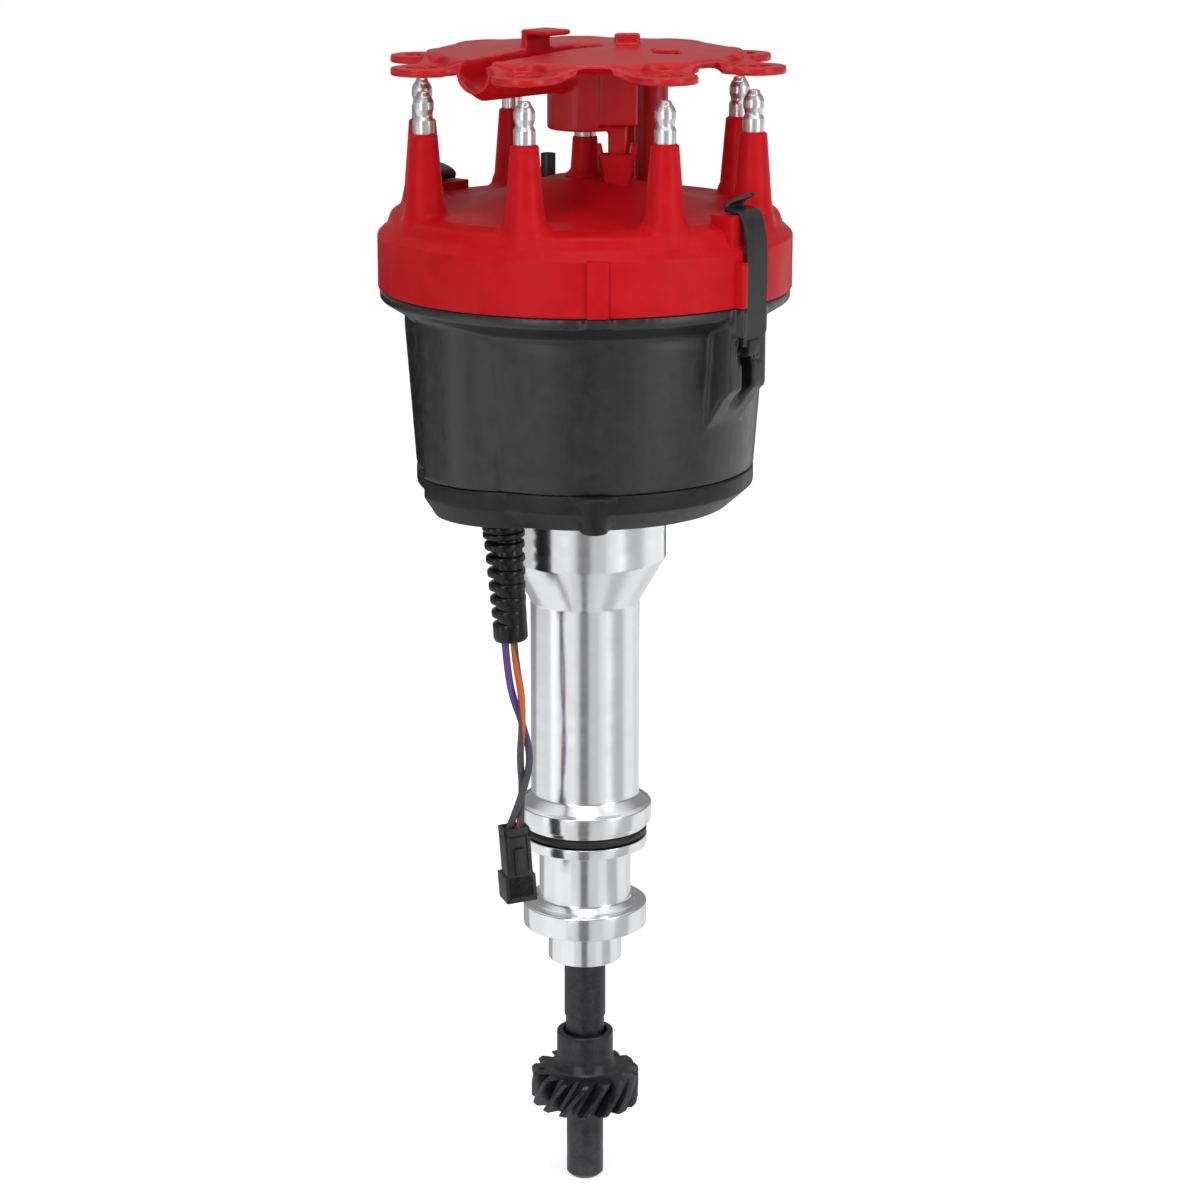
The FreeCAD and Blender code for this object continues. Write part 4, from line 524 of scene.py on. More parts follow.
def moulded_plastic(name, low, high, mottle, grain, shiny, dull, depth, specular=0.5):
    """Moulded plastic: mottle is the size of its faint cloudiness, grain the texture of the mould."""
    material, tree, shader = new_material(name, specular_ior_level=specular)
    cloud = add(tree, "ShaderNodeTexNoise", {"Vector": object_place(tree), "Scale": 1 / mottle, "Detail": 5.0,
                                             "Roughness": 0.6})
    share = add(tree, "ShaderNodeMapRange", {**CLOUD_TINT, "Value": cloud.outputs[0]})
    tint = add(tree, "ShaderNodeMix", {0: share.outputs[0], 6: linear(low), 7: linear(high)},
               data_type="RGBA")
    fine = add(tree, "ShaderNodeTexNoise", {"Vector": object_place(tree), "Scale": 1 / grain, "Detail": 2.0})
    rough = add(tree, "ShaderNodeMapRange", {**CLOUD_GLOSS, "Value": cloud.outputs[0],
                                             "To Min": shiny, "To Max": dull})
    relief = add(tree, "ShaderNodeMath", {0: cloud.outputs[0], 1: CLOUD_RELIEF, 2: fine.outputs[0]},
                 operation="MULTIPLY_ADD")
    link_surface(tree, shader, tint, rough, relief, 0.5, depth)
    return material


# Moulded nitrile rubber: near black and dull, with no clear highlight.
nitrile = moulded_plastic("moulded_nitrile_rubber", "#101011", "#19191A", 2 * MM, 0.3 * MM, 0.42, 0.55,
                          0.01 * MM)
ring_bm = bmesh.new()
revolve(ring_bm, [(RING_RADIUS + RING_SECTION * math.cos(a), RING_HEIGHT + RING_SECTION * math.sin(a))
                  for a in (2 * math.pi * k / RING_STEPS for k in range(RING_STEPS))])
put(made("sealing_ring", ring_bm, nitrile, crease=60), "root", "o_ring_rubber", "o_ring")


# Shell and lower cover: nylon mouldings. Their forms are those of the CAD pieces, run together
# with what only the look needs and rounded as a mould rounds them: the cover's three screw bosses
# widen upwards into its wall, and each clip has a guide at one side only.
BOSS = [(106.5, 4.2, 48.4), (110.0, 4.5, 48.8), (113.0, 5.6, 48.6), (115.5, 7.4, 47.4), (117.2, 9.8, 45.4),
        (118.6, 9.8, 45.4)]
CLIP_AZIMUTHS = (48, -132)
GUIDE_SPACE = (5.3, 10.0, 64.4, 70.0, 150.0, 178.0)
SHELL_VOXEL = 0.75
COVER_VOXEL = 0.6
SOFTENING = 4
KEPT_SHARE = 0.5
NO_EDGES = 180
WELD = 0.002 * MM
# Glossy moulded nylon: black and faintly clouded by its filler; its soft stripe down the wall is a painted
# reflection of a glowing floor sheet.
black_nylon = moulded_plastic("moulded_black_nylon", "#171718", "#212122", 4 * MM, 0.5 * MM, 0.30, 0.42,
                              0.015 * MM, 0.55)
# The same nylon from a grained mould: the cover shows a broad grey sheen and no stripe.
cover_nylon = moulded_plastic("moulded_matt_black_nylon", "#161617", "#202021", 4 * MM, 0.5 * MM, 0.36, 0.50,
                              0.03 * MM, 0.26)


def copied(node):
    """The faces of a CAD node, with their shared corners joined."""
    bm = bmesh.new()
    bm.from_mesh(nodes[node].data)
    bmesh.ops.remove_doubles(bm, verts=bm.verts, dist=WELD)
    return bm


def emptied(piece):
    """The faces of a piece, which is then thrown away."""
    bm = bmesh.new()
    bm.from_mesh(piece.data)
    bpy.data.objects.remove(piece)
    return bm


def moulded(name, bm, material, voxel, smoothing, keep, shape=None):
    """Overlapping closed forms run into one skin of voxel mm, its corners smoothed, then thinned out."""
    piece = made(name, bm, material)
    skin = piece.modifiers.new("skin", "REMESH")
    skin.mode = "VOXEL"
    skin.voxel_size = voxel * MM
    soften = piece.modifiers.new("soften", "SMOOTH")
    soften.factor = 0.5
    soften.iterations = smoothing
    settle(piece, NO_EDGES)
    if shape:
        for corner in piece.data.vertices:
            corner.co = shape(corner.co)
    thin = piece.modifiers.new("thin", "DECIMATE")
    thin.ratio = keep
    settle(piece, NO_EDGES)
    piece.data.shade_smooth()
    return piece


def loft(bm, rings):
    """Join rings of corners, one to the next, and close both ends."""
    for low, high in zip(rings, rings[1:]):
        for k in range(len(low)):
            after = (k + 1) % len(low)
            bm.faces.new((low[k], low[after], high[after], high[k]))
    bm.faces.new(rings[0])
    bm.faces.new(rings[-1])


def stacked(bm, sections, azimuth, sides=40):
    """A closed form from level circles (height, radius, distance from the axis), then turned."""
    turned = Matrix.Rotation(math.radians(azimuth), 3, "Z")
    angles = [2 * math.pi * k / sides for k in range(sides)]
    rings = [[bm.verts.new(turned @ (Vector((radius * math.cos(a), -away - radius * math.sin(a),
                                             height)) * MM)) for a in angles]
             for height, radius, away in sections]
    loft(bm, rings)


cover_bm = copied("lower_cover")
for azimuth in SCREW_AZIMUTHS:
    stacked(cover_bm, BOSS, azimuth)
guide_space = bmesh.new()
for azimuth in CLIP_AZIMUTHS:
    slab(guide_space, *GUIDE_SPACE, azimuth, bevel=0)
shell_forms = carve(made("shell_forms", copied("base_shell"), black_nylon),
                    made("guide_space", guide_space, black_nylon))
put(moulded("shell_moulding", emptied(shell_forms), black_nylon, SHELL_VOXEL, SOFTENING, KEPT_SHARE),
    "root", "black_shell", "base_shell")
put(moulded("cover_moulding", cover_bm, cover_nylon, COVER_VOXEL, SOFTENING, KEPT_SHARE),
    "root", "black_shell", "lower_cover")


# Cap: a thick polyester moulding with a flat deck, a low hill under the coil tower, a lug for each
# clip, the keeper of the retainer's latch and the rib that lines it up with the shell.
CAP_OUTSIDE = rounded([
    (64.5, 175.0, 0.5), (64.5, 191.6, 1.4), (61.5, 194.4, 2.6), (60.2, 198.2, 2.6), (55.5, 199.8, 4.0),
    (42.0, 199.8, 25.0), (10.0, 208.8, 9.0), (0.0, 208.8, 0.0), (0.0, 175.0, 0.0)])[:-1]
CAP_INSIDE = rounded([(0.0, 196.6, 0.0), (53.9, 196.6, 1.5), (59.4, 190.0, 1.5), (59.4, 172.4, 0.3),
                      (61.0, 172.4, 0.3), (61.0, 175.0, 0.0)])
CAP_SIDES = 160
# Bars are given as x from and to, distance from the axis from and to, height from and to.
FRONT_RIB = (-3.2, 3.2, 61.5, 65.9, 175.0, 192.0)
LUG_BARS = [(-5.6, 5.6, 54.4, 62.6, 188.8, 202.4), (-8.2, -5.4, 54.4, 62.6, 188.8, 202.4),
            (5.4, 8.2, 54.4, 62.6, 188.8, 202.4), (-8.2, -5.4, 59.8, 66.7, 175.0, 188.8)]
# The keeper is a square funnel of four walls. Each has its oblong at the foot and at the top (x from
# and to, distance from the axis from and to) and the height of its top.
KEEPER_FOOT = 205.0
KEEPER_WALLS = [((5.4, 7.2, 5.4, 10.4), (2.8, 4.6, 5.4, 10.4), 219.4),
                ((11.0, 12.8, 5.4, 10.4), (13.8, 15.6, 5.4, 10.4), 219.4),
                ((6.0, 12.2, 10.0, 11.6), (4.2, 14.2, 10.0, 11.6), 216.4),
                ((6.0, 12.2, 4.6, 5.8), (4.2, 14.2, 4.6, 5.8), 216.4)]
# Moulded polyester: a deep even red with hardly a highlight, because its filler dulls the skin.
red_polyester = moulded_plastic("moulded_red_polyester", "#BA0F17", "#C3141D", 6 * MM, 0.3 * MM, 0.34, 0.44,
                                0.01 * MM, 0.08)
cap_bm = bmesh.new()
revolve(cap_bm, CAP_OUTSIDE + CAP_INSIDE, CAP_SIDES)
slab(cap_bm, *FRONT_RIB)
for azimuth in CLIP_AZIMUTHS:
    for bar in LUG_BARS:
        slab(cap_bm, *bar, azimuth)
for foot, head, top in KEEPER_WALLS:
    block(cap_bm, foot, KEEPER_FOOT, head, top)
put(made("cap_moulding", cap_bm, red_polyester), "root", "red_cap", "cap")


# Towers: eight tapered posts moulded with the cap, each with a fillet round its foot that follows
# the deck and the shoulder, and a stubby one in the middle for the coil wire.
TOWER_CIRCLE = 54.0
TOWER_COUNT = 8
FIRST_TOWER = math.radians(22.5)
TOWER_FOOT = 194.6
TOWER_TOP = 224.4
TOWER_RADII = (6.6, 4.2)
FOOT_FILLET = 2.3
FOOT_STEPS = 6
FOOT_HEIGHT = 9.0
SUNK = 1.0
EDGE_DROP = 0.5
EDGE_INSETS = (0.35, 0.7)
EDGE_SLOPE = 0.7
COIL_TOWER_TOP = 221.0
COIL_TOWER = [(0, 200, 0), (6.4, 200, 0), (6.2, 209.4, 0), (4.5, 210.8, 1.8), (3.8, COIL_TOWER_TOP, 0.4),
              (0, COIL_TOWER_TOP, 0)]


def cap_height(radius):
    """The height of the cap's outside at a radius, in mm."""
    for outer, inner in zip(CAP_OUTSIDE, CAP_OUTSIDE[1:]):
        if inner.x <= radius <= outer.x and outer.x > inner.x:
            return inner.y + (outer.y - inner.y) * (radius - inner.x) / (outer.x - inner.x)


def tower(bm, circle, foot_r, top_r, foot_z, top_z, sides=48):
    """A tapered post at the front of a circle, from the cap's outside to a broken edge at its top."""
    rings = []
    levels = [("sunk", 0.0)] + [("fillet", k / FOOT_STEPS) for k in range(FOOT_STEPS + 1)]
    levels += [("wall", foot_z + FOOT_HEIGHT), ("wall", top_z - EDGE_DROP)]
    levels += [("edge", inset) for inset in EDGE_INSETS]
    for kind, value in levels:
        ring = []
        for k in range(sides):
            way = Vector((math.cos(2 * math.pi * k / sides), math.sin(2 * math.pi * k / sides)))
            if kind in ("sunk", "fillet"):
                reach = foot_r + FOOT_FILLET * (1 - math.sin(value * math.pi / 2))
                at = Vector((0, -circle)) + way * reach
                height = cap_height(at.length) + FOOT_FILLET * (1 - math.cos(value * math.pi / 2))
                height -= SUNK if kind == "sunk" else 0.0
            else:
                height = value if kind == "wall" else top_z - EDGE_DROP + value * EDGE_SLOPE
                reach = foot_r + (top_r - foot_r) * (height - foot_z) / (top_z - foot_z)
                reach -= value if kind == "edge" else 0.0
                at = Vector((0, -circle)) + way * reach
            ring.append(bm.verts.new((at.x * MM, at.y * MM, height * MM)))
        rings.append(ring)
    loft(bm, rings)


def copies_around(name, piece, count, first, material):
    """Copies of a piece round the axis: a node group with the piece, count, first angle and finish."""
    group = bpy.data.node_groups.new(name, "GeometryNodeTree")
    group.interface.new_socket("Geometry", in_out="OUTPUT", socket_type="NodeSocketGeometry")
    given = {key: group.interface.new_socket(key, in_out="INPUT", socket_type="NodeSocket" + kind)
             for key, kind in (("Piece", "Object"), ("Count", "Int"), ("First Angle", "Float"),
                               ("Finish", "Material"))}
    inputs = add(group, "NodeGroupInput").outputs
    line = add(group, "GeometryNodeMeshLine", {"Count": inputs["Count"], "Offset": (0, 0, 0)})
    share = add(group, "ShaderNodeMath", {0: add(group, "GeometryNodeInputIndex").outputs[0],
                                          1: inputs["Count"]}, operation="DIVIDE")
    angle = add(group, "ShaderNodeMath", {0: share.outputs[0], 1: 2 * math.pi, 2: inputs["First Angle"]},
                operation="MULTIPLY_ADD")
    turn = add(group, "ShaderNodeCombineXYZ", {"Z": angle.outputs[0]})
    shape = add(group, "GeometryNodeObjectInfo", {"Object": inputs["Piece"]})
    spread = add(group, "GeometryNodeInstanceOnPoints", {
        "Points": line.outputs[0], "Instance": shape.outputs["Geometry"], "Rotation": turn.outputs[0]})
    real = add(group, "GeometryNodeRealizeInstances", {0: spread.outputs[0]})
    finish = add(group, "GeometryNodeSetMaterial", {"Geometry": real.outputs[0],
                                                    "Material": inputs["Finish"]})
    add(group, "NodeGroupOutput", {0: finish.outputs[0]})
    carrier = new_object(name, bpy.data.meshes.new(name))
    step = carrier.modifiers.new("copies", "NODES")
    step.node_group = group
    for key, value in (("Piece", piece), ("Count", count), ("First Angle", first), ("Finish", material)):
        step[given[key].identifier] = value
    settle(carrier)
    bpy.data.objects.remove(piece)
    return carrier


tower_bm = bmesh.new()
tower(tower_bm, TOWER_CIRCLE, *TOWER_RADII, TOWER_FOOT, TOWER_TOP)
one_tower = made("one_tower", tower_bm, red_polyester)
put(copies_around("tower_mouldings", one_tower, TOWER_COUNT, FIRST_TOWER, red_polyester),
    "root", "red_cap", "cap")
coil_bm = bmesh.new()
revolve(coil_bm, rounded(COIL_TOWER), sides=64)
put(made("coil_tower", coil_bm, red_polyester), "root", "red_cap", "cap")


# Vent: a short tube of black acetal pressed through the deck, open at the top.
VENT = [(0, 194.5, 0), (1.5, 194.5, 0.2), (1.5, 201.0, 0), (2.35, 201.2, 0.2), (2.35, 213.2, 0.4),
        (1.6, 213.2, 0.3), (1.6, 205.0, 0.2), (0, 205.0, 0)]
VENT_PLACE = Matrix.Translation((-10.4 * MM, 22.0 * MM, 0))
# Moulded acetal: a waxy black, smooth and only half glossy.
black_acetal = moulded_plastic("moulded_black_acetal", "#1B1B1C", "#242425", 3 * MM, 0.4 * MM, 0.38, 0.5,
                               0.02 * MM)
vent_bm = bmesh.new()
revolve(vent_bm, rounded(VENT), sides=40, place=VENT_PLACE)
put(made("vent_tube", vent_bm, black_acetal), "root", "black_shell", "cap_vent")


# Terminals: aluminium, turned with a plain foot, a neck that the boot snaps into and a round head.
# Each has a stem down through its tower and a contact under the roof.
TERMINAL = [(3.3, 0.0, 0.2), (3.3, 4.1, 0.6), (2.65, 5.3, 0.7), (2.75, 6.0, 0.7), (3.2, 7.4, 0.9),
            (3.2, 9.6, 0.9), (2.55, 11.0, 0.5), (2.2, 11.3, 0.3), (1.7, 12.6, 0.6), (0.0, 12.6, 0.0)]
STEM_RADIUS = 2.2
SPARK_STEM_FOOT = 194.4
COIL_STEM_FOOT = 200.8
SPARK_CONTACT = (-2.6, 2.6, 50.8, 55.6, 178.0, SPARK_STEM_FOOT)


def terminal(bm, foot_z, stem_foot, place=None):
    """One terminal with its stem, its foot on a tower's top at foot_z."""
    stem = [(0.0, stem_foot, 0.0), (STEM_RADIUS, stem_foot, 0.0), (STEM_RADIUS, foot_z, 0.0)]
    revolve(bm, rounded(stem + [(r, foot_z + z, fillet) for r, z, fillet in TERMINAL]), sides=48,
            place=place)


# Small turnings that were tumbled afterwards: greyer than the housing, with blurred highlights.
terminal_metal = turned_metal("turned_terminal_aluminium", "#D2D3D5", "#E6E7E9", 0.3 * MM, 0.32, 0.42,
                              0.01 * MM)
spark_bm = bmesh.new()
terminal(spark_bm, TOWER_TOP, SPARK_STEM_FOOT, Matrix.Translation((0, -TOWER_CIRCLE * MM, 0)))
slab(spark_bm, *SPARK_CONTACT, bevel=0.3)
one_terminal = made("one_terminal", spark_bm, terminal_metal)
put(copies_around("terminal_turnings", one_terminal, TOWER_COUNT, FIRST_TOWER, terminal_metal),
    "root", "terminal", "spark_terminals")
coil_end_bm = bmesh.new()
terminal(coil_end_bm, COIL_TOWER_TOP, COIL_STEM_FOOT)
put(made("coil_terminal_turning", coil_end_bm, terminal_metal), "root", "terminal", "coil_terminal")


# Wire retainer: a domed polyester plate that holds the boots down, with an ear round each tower,
# a trough for the coil wire, a sleeve over the coil terminal, a post and a latch. The CAD piece
# gives its forms; the ears run into the rim with hollow curves, and the rim rises between them.
EAR_RADIUS = 9.8
RIM_RADIUS = 50.0
EAR_BLEND = 7.0
EAR_BLEND_STEPS = 12
EAR_LEVELS = (241.9, 244.4)
WEB_SIDE = 7.5
WEB_REACH = (46.5, 53.8)
RIM_RISE = 2.0
RIM_BAND = (45.5, 53.0)
RIM_RAMPS = (3.5, 3.0)
RIM_DIP = 0.45
LATCH_SPACE = (8.0, 18.0, -2.0, 2.0, 214.0, 240.0)
SLEEVE = [(9.9, 223.3), (11.7, 223.3), (11.7, 245.5), (9.9, 245.5)]
LATCH_BLOCK = (3.6, 15.4, 5.0, 12.2, 225.2, 246.0)
LATCH_TONGUE = (6.6, 12.4, 6.8, 9.2, 212.0, 226.0)
RETAINER_VOXEL = 0.45
RETAINER_SOFTENING = 12
RETAINER_KEPT = 0.4
# Polyester from a polished mould: the same red as the cap, with clear soft highlights on its edges.
retainer_polyester = moulded_plastic("moulded_glossy_red_polyester", "#B90F17", "#C2141D", 6 * MM, 0.3 * MM,
                                     0.28, 0.38, 0.01 * MM, 0.3)


def ear_web():
    """Outline (x, distance from the axis) of the web with the curve that joins an ear to the rim."""
    inner = RIM_RADIUS + EAR_BLEND
    outer = EAR_RADIUS + EAR_BLEND
    up = (inner ** 2 - outer ** 2 + TOWER_CIRCLE ** 2) / (2 * TOWER_CIRCLE)
    out = math.sqrt(inner ** 2 - up ** 2)
    first = math.atan2(-up, -out)
    last = math.atan2(TOWER_CIRCLE - up, -out)
    arc = [Vector((out, up)) + EAR_BLEND * Vector((math.cos(a), math.sin(a)))
           for a in (first + (last - first) * k / EAR_BLEND_STEPS for k in range(EAR_BLEND_STEPS + 1))]
    return arc + [Vector((WEB_SIDE, WEB_REACH[1])), Vector((WEB_SIDE, WEB_REACH[0]))]


def raised_rim(place):
    """Lift the rim, but not the ears outside it, to RIM_RISE midway between two ears."""
    out = place.to_2d().length / MM
    turn = math.atan2(place.x, -place.y) - FIRST_TOWER
    wave = math.sin(turn % (2 * math.pi / TOWER_COUNT) * TOWER_COUNT / 2)
    share = min(max((wave - RIM_DIP) / (1 - RIM_DIP), 0), 1)
    eased = share * share * (3 - 2 * share)
    reach = min(max((out - RIM_BAND[0]) / RIM_RAMPS[0], 0), max((RIM_BAND[1] - out) / RIM_RAMPS[1], 0), 1)
    return place + Vector((0, 0, RIM_RISE * MM * eased * reach))


forms_bm = copied("wire_retainer")
for ear in range(TOWER_COUNT):
    turned = Matrix.Rotation(FIRST_TOWER + ear * 2 * math.pi / TOWER_COUNT, 3, "Z")
    for side in (-1, 1):
        loft(forms_bm, [[forms_bm.verts.new(turned @ (Vector((side * p.x, -p.y, level)) * MM))
                         for p in ear_web()] for level in EAR_LEVELS])
space_bm = bmesh.new()
slab(space_bm, *LATCH_SPACE, bevel=0)
retainer_forms = carve(made("retainer_forms", forms_bm, retainer_polyester),
                       made("latch_space", space_bm, retainer_polyester))
retainer_bm = emptied(retainer_forms)
revolve(retainer_bm, SLEEVE, sides=64)
slab(retainer_bm, *LATCH_BLOCK, bevel=0.3)
slab(retainer_bm, *LATCH_TONGUE, bevel=0.3)
put(moulded("retainer_moulding", retainer_bm, retainer_polyester, RETAINER_VOXEL, RETAINER_SOFTENING,
            RETAINER_KEPT, raised_rim), "root", "red_cap", "wire_retainer")


# Spring clips: a strap of blackened spring steel that bows outwards from its pivot bar, with a hook
# over the lug and a leaf that folds back for the finger.
STRAP = [(64.3, 163.0, 5.1), (64.6, 166.0, 5.1), (65.5, 175.0, 5.1), (65.7, 186.0, 5.1), (65.3, 194.0, 5.1),
         (64.5, 199.5, 5.1), (62.8, 202.9, 5.1), (60.4, 203.5, 5.1), (57.4, 203.5, 5.1)]
LEAF = [(57.8, 203.6, 5.0), (57.0, 204.6, 4.6), (58.4, 206.2, 3.8), (61.5, 207.4, 2.2), (64.2, 208.6, 0.5)]
FOOT = [(60.9, 160.0, 2.5), (63.6, 160.0, 2.5), (65.0, 160.6, 2.5), (64.9, 164.6, 2.5)]
STRAP_HALF_THICKNESS = 0.55
STRAP_EDGE = 0.2 * MM
CORNER_CUTS = 2
PIVOT = (60.9, 160.8)
PIVOT_BAR = [(0, -4.5, 0), (1.3, -4.5, 0.3), (1.3, 4.5, 0.3), (0, 4.5, 0)]
BROAD_SHARE = 0.12
GRAIN_RANGE = {"From Min": 0.7, "From Max": 1.3}


def grained_metal(name, low, high, grain, shiny, dull, depth, metallic=1.0):
    """Ground, plated, sintered or phosphated metal; grain is its coarsest grain in metres."""
    material, tree, shader = new_material(name, metallic=metallic)
    fine = add(tree, "ShaderNodeTexNoise", {"Vector": object_place(tree), "Scale": 1 / grain, "Detail": 4.0})
    broad = add(tree, "ShaderNodeTexNoise", {"Vector": object_place(tree), "Scale": BROAD_SHARE / grain,
                                             "Detail": 5.0, "Roughness": 0.6})
    both = add(tree, "ShaderNodeMath", {0: fine.outputs[0], 1: broad.outputs[0]}, operation="ADD")
    rough = add(tree, "ShaderNodeMapRange", {**GRAIN_RANGE, "Value": both.outputs[0],
                                             "To Min": shiny, "To Max": dull})
    share = add(tree, "ShaderNodeMapRange", {**GRAIN_RANGE, "Value": both.outputs[0]})
    tint = add(tree, "ShaderNodeMix", {0: share.outputs[0], 6: linear(low), 7: linear(high)},
               data_type="RGBA")
    link_surface(tree, shader, tint, rough, fine, 0.4, depth)
    return material


# Blackened spring steel: dark grey with a broad, low sheen along the bend.
clip_steel = grained_metal("blackened_spring_steel", "#242426", "#343437", 0.5 * MM, 0.36, 0.5, 0.02 * MM,
                           0.4)


def ribbon(bm, line, azimuth, half):
    """Bent strip along (radius, height, half width), with its corners rounded by cutting."""
    for _ in range(CORNER_CUTS):
        smooth = [Vector(line[0])]
        for here, after in zip(line, line[1:]):
            smooth += [Vector(here).lerp(Vector(after), share) for share in (0.25, 0.75)]
        line = smooth + [Vector(line[-1])]
    rings = []
    turned = Matrix.Rotation(math.radians(azimuth), 3, "Z")
    for i, point in enumerate(line):
        way = (line[min(i + 1, len(line) - 1)] - line[max(i - 1, 0)]).to_2d().normalized()
        normal = Vector((way.y, -way.x)) * half
        rings.append([bm.verts.new(turned @ (Vector((x * point.z, -(point.x + s * normal.x),
                                                     point.y + s * normal.y)) * MM))
                      for x, s in ((-1, -1), (1, -1), (1, 1), (-1, 1))])
    loft(bm, rings)
    long_edges = [bm.edges.get((low[k], high[k])) for low, high in zip(rings, rings[1:]) for k in range(4)]
    bmesh.ops.bevel(bm, geom=long_edges, offset=STRAP_EDGE, segments=2, profile=0.5, affect="EDGES")


def clip(name, body, azimuth):
    """A whole clip with its pivot bar, on its own body."""
    bm = bmesh.new()
    for line in (STRAP, LEAF, FOOT):
        ribbon(bm, line, azimuth, STRAP_HALF_THICKNESS)
    lie = (Matrix.Rotation(math.radians(azimuth), 4, "Z")
           @ Matrix.Translation((0, -PIVOT[0] * MM, PIVOT[1] * MM)) @ Matrix.Rotation(math.pi / 2, 4, "Y"))
    revolve(bm, rounded(PIVOT_BAR), sides=24, place=lie)
    put(made(name, bm, clip_steel), body, "clip", body)


clip("right_clip_spring", "right_clip", CLIP_AZIMUTHS[0])
clip("left_clip_spring", "left_clip", CLIP_AZIMUTHS[1])


# Strain relief: glossy elastomer moulded on the lead, with a collar under the cover, ribs that let
# it bend, joined down one side by a thick spine, and a plain end.
RELIEF_TOP = Vector((-26.9, -26.5, 104.9))
RELIEF_END = Vector((-24.7, -26.6, 67.4))
SPINE_OFFSET = Vector((0.85, -0.45, 0))
SPINE = [(0, 1.0, 0), (4.6, 1.0, 0.2), (4.6, 33.0, 0.2), (0, 33.0, 0)]
RELIEF_RIBS = 6
FIRST_RIB = 6.0
RIB_PITCH = 4.35
RIB_RADIUS = 5.5
RIB_GROWTH = 0.16
CORE_RADIUS = 3.9
RELIEF_STEM = 14.0
# Moulded elastomer: deep black and wet-looking, with a thin bright line on each rib.
black_elastomer = moulded_plastic("moulded_black_elastomer", "#0B0B0C", "#121213", 3 * MM, 0.5 * MM,
                                  0.16, 0.26, 0.01 * MM, 0.3)
relief_length = (RELIEF_TOP - RELIEF_END).length
relief_place = (Matrix.Translation(RELIEF_END * MM)
                @ (RELIEF_TOP - RELIEF_END).to_track_quat("Z", "Y").to_matrix().to_4x4())
relief_section = [(0, 0, 0), (4.9, 0.0, 0.8), (5.4, 1.2, 0.8), (5.4, 6.0, 0.8)]
for rib in range(RELIEF_RIBS):
    low = FIRST_RIB + rib * RIB_PITCH
    outer = RIB_RADIUS + RIB_GROWTH * rib
    relief_section += [(CORE_RADIUS, low + 0.5, 0.4), (CORE_RADIUS, low + 1.5, 0.4), (outer, low + 2.0, 0.8),
                       (outer, low + RIB_PITCH - 0.1, 0.9)]
relief_section += [(4.2, 32.6, 0.4), (4.2, 33.2, 0.4), (6.6, 33.4, 0.6), (6.6, 35.0, 0.5), (6.1, 35.3, 0.3),
                   (6.1, 35.6, 0.3), (6.6, 35.9, 0.5), (6.6, relief_length, 0.5), (4.4, relief_length, 0.2),
                   (4.4, relief_length + RELIEF_STEM, 0.0), (0, relief_length + RELIEF_STEM, 0)]
relief_bm = bmesh.new()
revolve(relief_bm, rounded(relief_section), sides=64, place=relief_place)
revolve(relief_bm, rounded(SPINE), sides=64, place=Matrix.Translation(SPINE_OFFSET * MM) @ relief_place)
put(made("relief_moulding", relief_bm, black_elastomer, crease=50), "root", "relief_rubber", "strain_relief")


# Connector: a two-way moulded plug, open at the top where the wires enter, with a latch rib and a
# deeper collar at its mouth. The stamped brass contacts inside are the CAD piece.
CONNECTOR_TOP = Vector((-24.1, -26.6, 4.9))
CONNECTOR_AXIS = Vector((-0.071, 0, 0.9975))
CONNECTOR_TURN = math.radians(14)
# The bars of the plug: its block, the walls and the bridge of its open top, the collar, the latch
# rib and two keys, each with the size of its rounded edges last.
PLUG_BARS = [(-4.3, 4.3, -3.5, 3.5, -22.0, -0.6, 0.35), (-4.3, -3.3, -3.5, 3.5, -2.0, 1.4, 0.25),
             (3.3, 4.3, -3.5, 3.5, -2.0, 1.4, 0.25), (-4.3, 4.3, 2.6, 3.5, -2.0, 1.4, 0.25),
             (-4.3, 4.3, -3.5, -2.6, -2.0, 1.4, 0.25), (-0.4, 0.4, -3.0, 3.0, -2.0, 1.4, 0.25),
             (-5.1, 5.1, -5.9, 3.5, -23.4, -14.4, 0.4), (-1.6, 1.6, 3.3, 4.7, -14.0, -5.0, 0.3),
             (-3.6, -2.8, 3.3, 3.9, -13.0, -1.0, 0.2), (2.8, 3.6, 3.3, 3.9, -13.0, -1.0, 0.2)]


def dress(material, *names):
    """Give CAD nodes a finish in place of their plain colours."""
    for name in names:
        for socket in nodes[name].material_slots:
            socket.material = material


# Stamped brass: a warm yellow with sharp small highlights on its cut edges.
brass = grained_metal("stamped_brass", "#B08E4A", "#CBA964", 0.4 * MM, 0.25, 0.38, 0.01 * MM)
dress(brass, "rotor_contact", "connector_contacts")
upright = CONNECTOR_AXIS.rotation_difference(Vector((0, 0, 1)))
plug_place = (Matrix.Translation(CONNECTOR_TOP * MM) @ upright.inverted().to_matrix().to_4x4()
              @ Matrix.Rotation(CONNECTOR_TURN, 4, "Z"))
plug_bm = bmesh.new()
for *bar, edge in PLUG_BARS:
    slab(plug_bm, *bar, bevel=edge)
bmesh.ops.transform(plug_bm, matrix=plug_place, verts=plug_bm.verts)
plug = put(made("plug_moulding", plug_bm, black_acetal), "root", "connector", "pickup_connector")


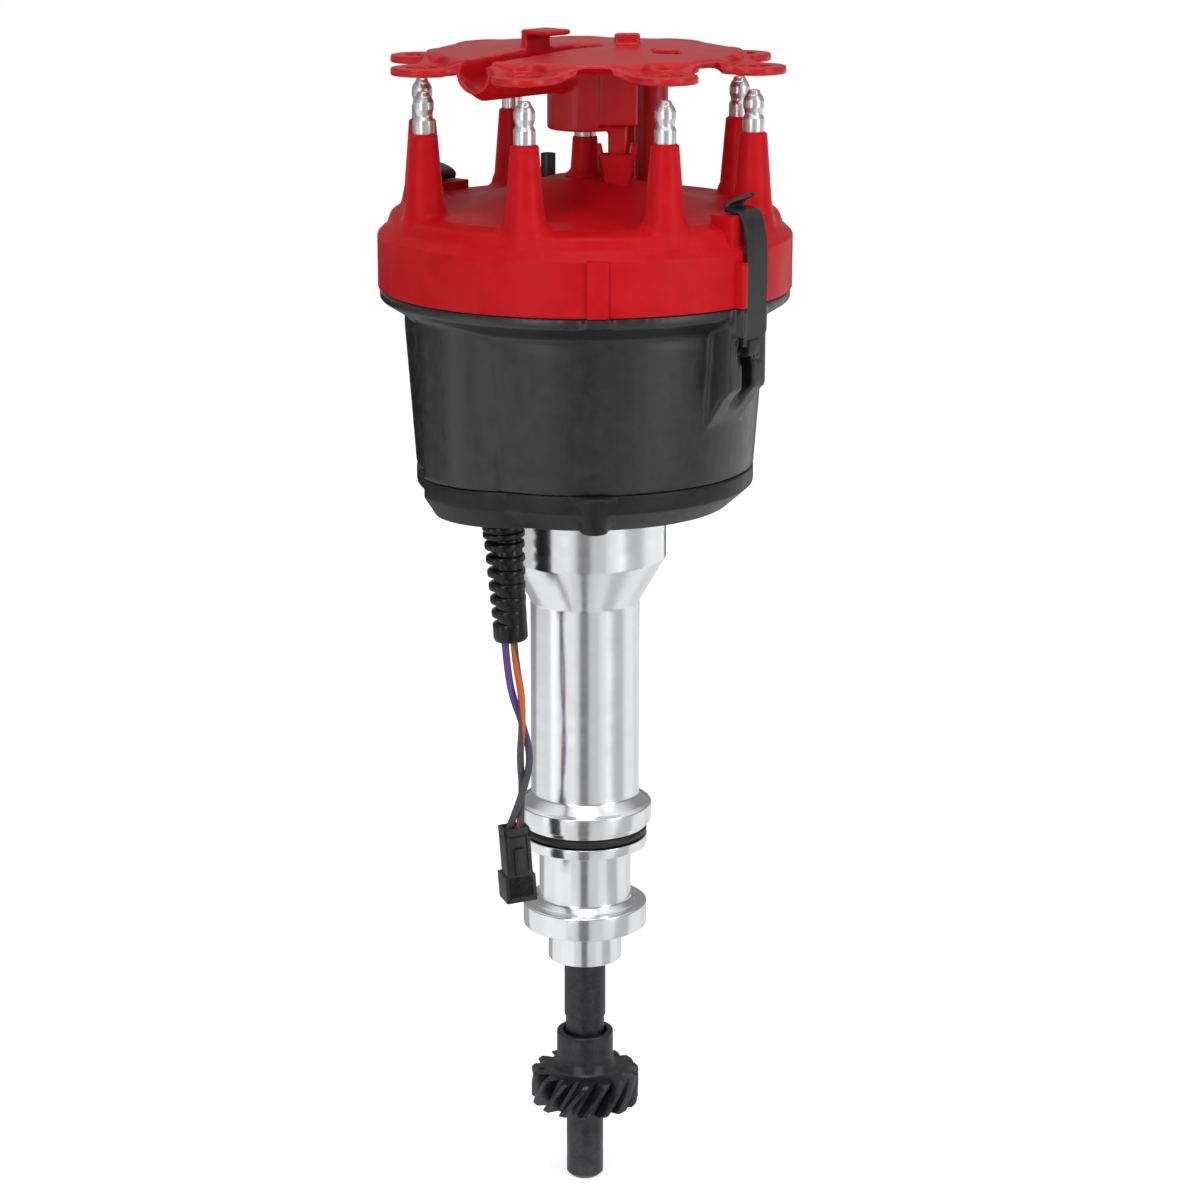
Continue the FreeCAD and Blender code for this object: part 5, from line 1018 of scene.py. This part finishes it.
# Drive gear: cut and phosphated steel. One tooth space after another is milled along the helix, so
# the flanks curve from root to tip, and the hub is turned with it. The shaft, the roll pin and the
# advance cam have the same finish.
GEAR_TEETH = 15
GEAR_LOW = -99.2
GEAR_HIGH = -87.6
GEAR_TIP = 17.8
GEAR_ROOT = 13.5
GEAR_LEAD = math.tan(math.radians(37.0)) / GEAR_TIP
TOOTH = [(GEAR_ROOT, -0.37), (14.3, -0.325), (15.6, -0.262), (16.9, -0.185), (GEAR_TIP, -0.115),
         (GEAR_TIP, 0.115), (16.9, 0.185), (15.6, 0.262), (14.3, 0.325), (GEAR_ROOT, 0.37)]
# The tips are chamfered at both ends: share of the length, and how much is cut off the tip there.
TIP_CHAMFER = 0.8
GEAR_LEVELS = [(0.0, TIP_CHAMFER), (0.07, 0.0)] + [(k / 8, 0.0) for k in range(1, 8)]
GEAR_LEVELS += [(0.93, 0.0), (1.0, TIP_CHAMFER)]
HUB = [(6.5, -90.0, 0), (12.6, -90.0, 0), (12.6, GEAR_HIGH + 0.1, 0), (10.2, GEAR_HIGH + 0.4, 1.6),
       (9.3, -84.0, 2.0), (9.3, -74.0, 0.7), (7.4, -74.0, 0.5), (7.0, -75.0, 0.3), (6.5, -76.0, 0)]
# Phosphated and oiled steel: a dark crystalline grey that glints only where it turns to the light.
phosphate = grained_metal("phosphated_steel", "#303032", "#4A4A4D", 0.4 * MM, 0.34, 0.54, 0.04 * MM, 0.9)
dress(phosphate, "drive_shaft", "gear_roll_pin", "advance_cam")
gear_bm = bmesh.new()
gear_rings = []
for share, trim in GEAR_LEVELS:
    rise = share * (GEAR_HIGH - GEAR_LOW)
    ring = []
    for tooth in range(GEAR_TEETH):
        for radius, turn in TOOTH:
            at = min(radius, GEAR_TIP - trim)
            angle = (tooth + turn) * 2 * math.pi / GEAR_TEETH + rise * GEAR_LEAD
            ring.append(gear_bm.verts.new(Vector((at * math.cos(angle), at * math.sin(angle),
                                                  GEAR_LOW + rise)) * MM))
    gear_rings.append(ring)
loft(gear_bm, gear_rings)
revolve(gear_bm, rounded(HUB), sides=96)
put(made("gear_blank", gear_bm, phosphate, crease=32), "shaft", "dark_steel", "drive_gear")


# Inner pieces: bush, bearing, advance, trigger wheel, pickup, rotor and brush, each the CAD piece
# in its own finish. All but the cover screws are inside the housing, the shell and the cap.
# Ground steel: bright and even, with short highlights.
ground_steel = grained_metal("ground_steel", "#9C9DA0", "#B9BABD", 0.3 * MM, 0.2, 0.34, 0.01 * MM)
# Zinc plating: a cool pale grey, slightly milky.
zinc = grained_metal("zinc_plated_steel", "#A9ACB2", "#C6C8CC", 0.5 * MM, 0.26, 0.42, 0.01 * MM)
# Sintered bronze: brown and dull, because its pores hold oil.
bronze = grained_metal("sintered_bronze", "#8C6B3E", "#A98352", 0.5 * MM, 0.4, 0.55, 0.03 * MM)
# Pressed carbon: soft dark grey with no gloss.
carbon = moulded_plastic("pressed_carbon", "#1D1D1E", "#2A2A2B", 1 * MM, 0.3 * MM, 0.5, 0.65, 0.02 * MM)
dress(bronze, "lower_bushing")
dress(ground_steel, "bearing_outer_race", "bearing_inner_race", "bearing_balls", "advance_weight_right",
      "advance_weight_left", "advance_springs", "trigger_wheel", "brush_spring")
dress(zinc, "bearing_retainer", "retainer_screws", "cover_screws", "advance_plate", "rotor_screws",
      "pickup_bracket", "pickup_screws")
dress(carbon, "centre_brush")
dress(black_acetal, "rotor", "pickup_coil")


bpy.context.view_layer.update()
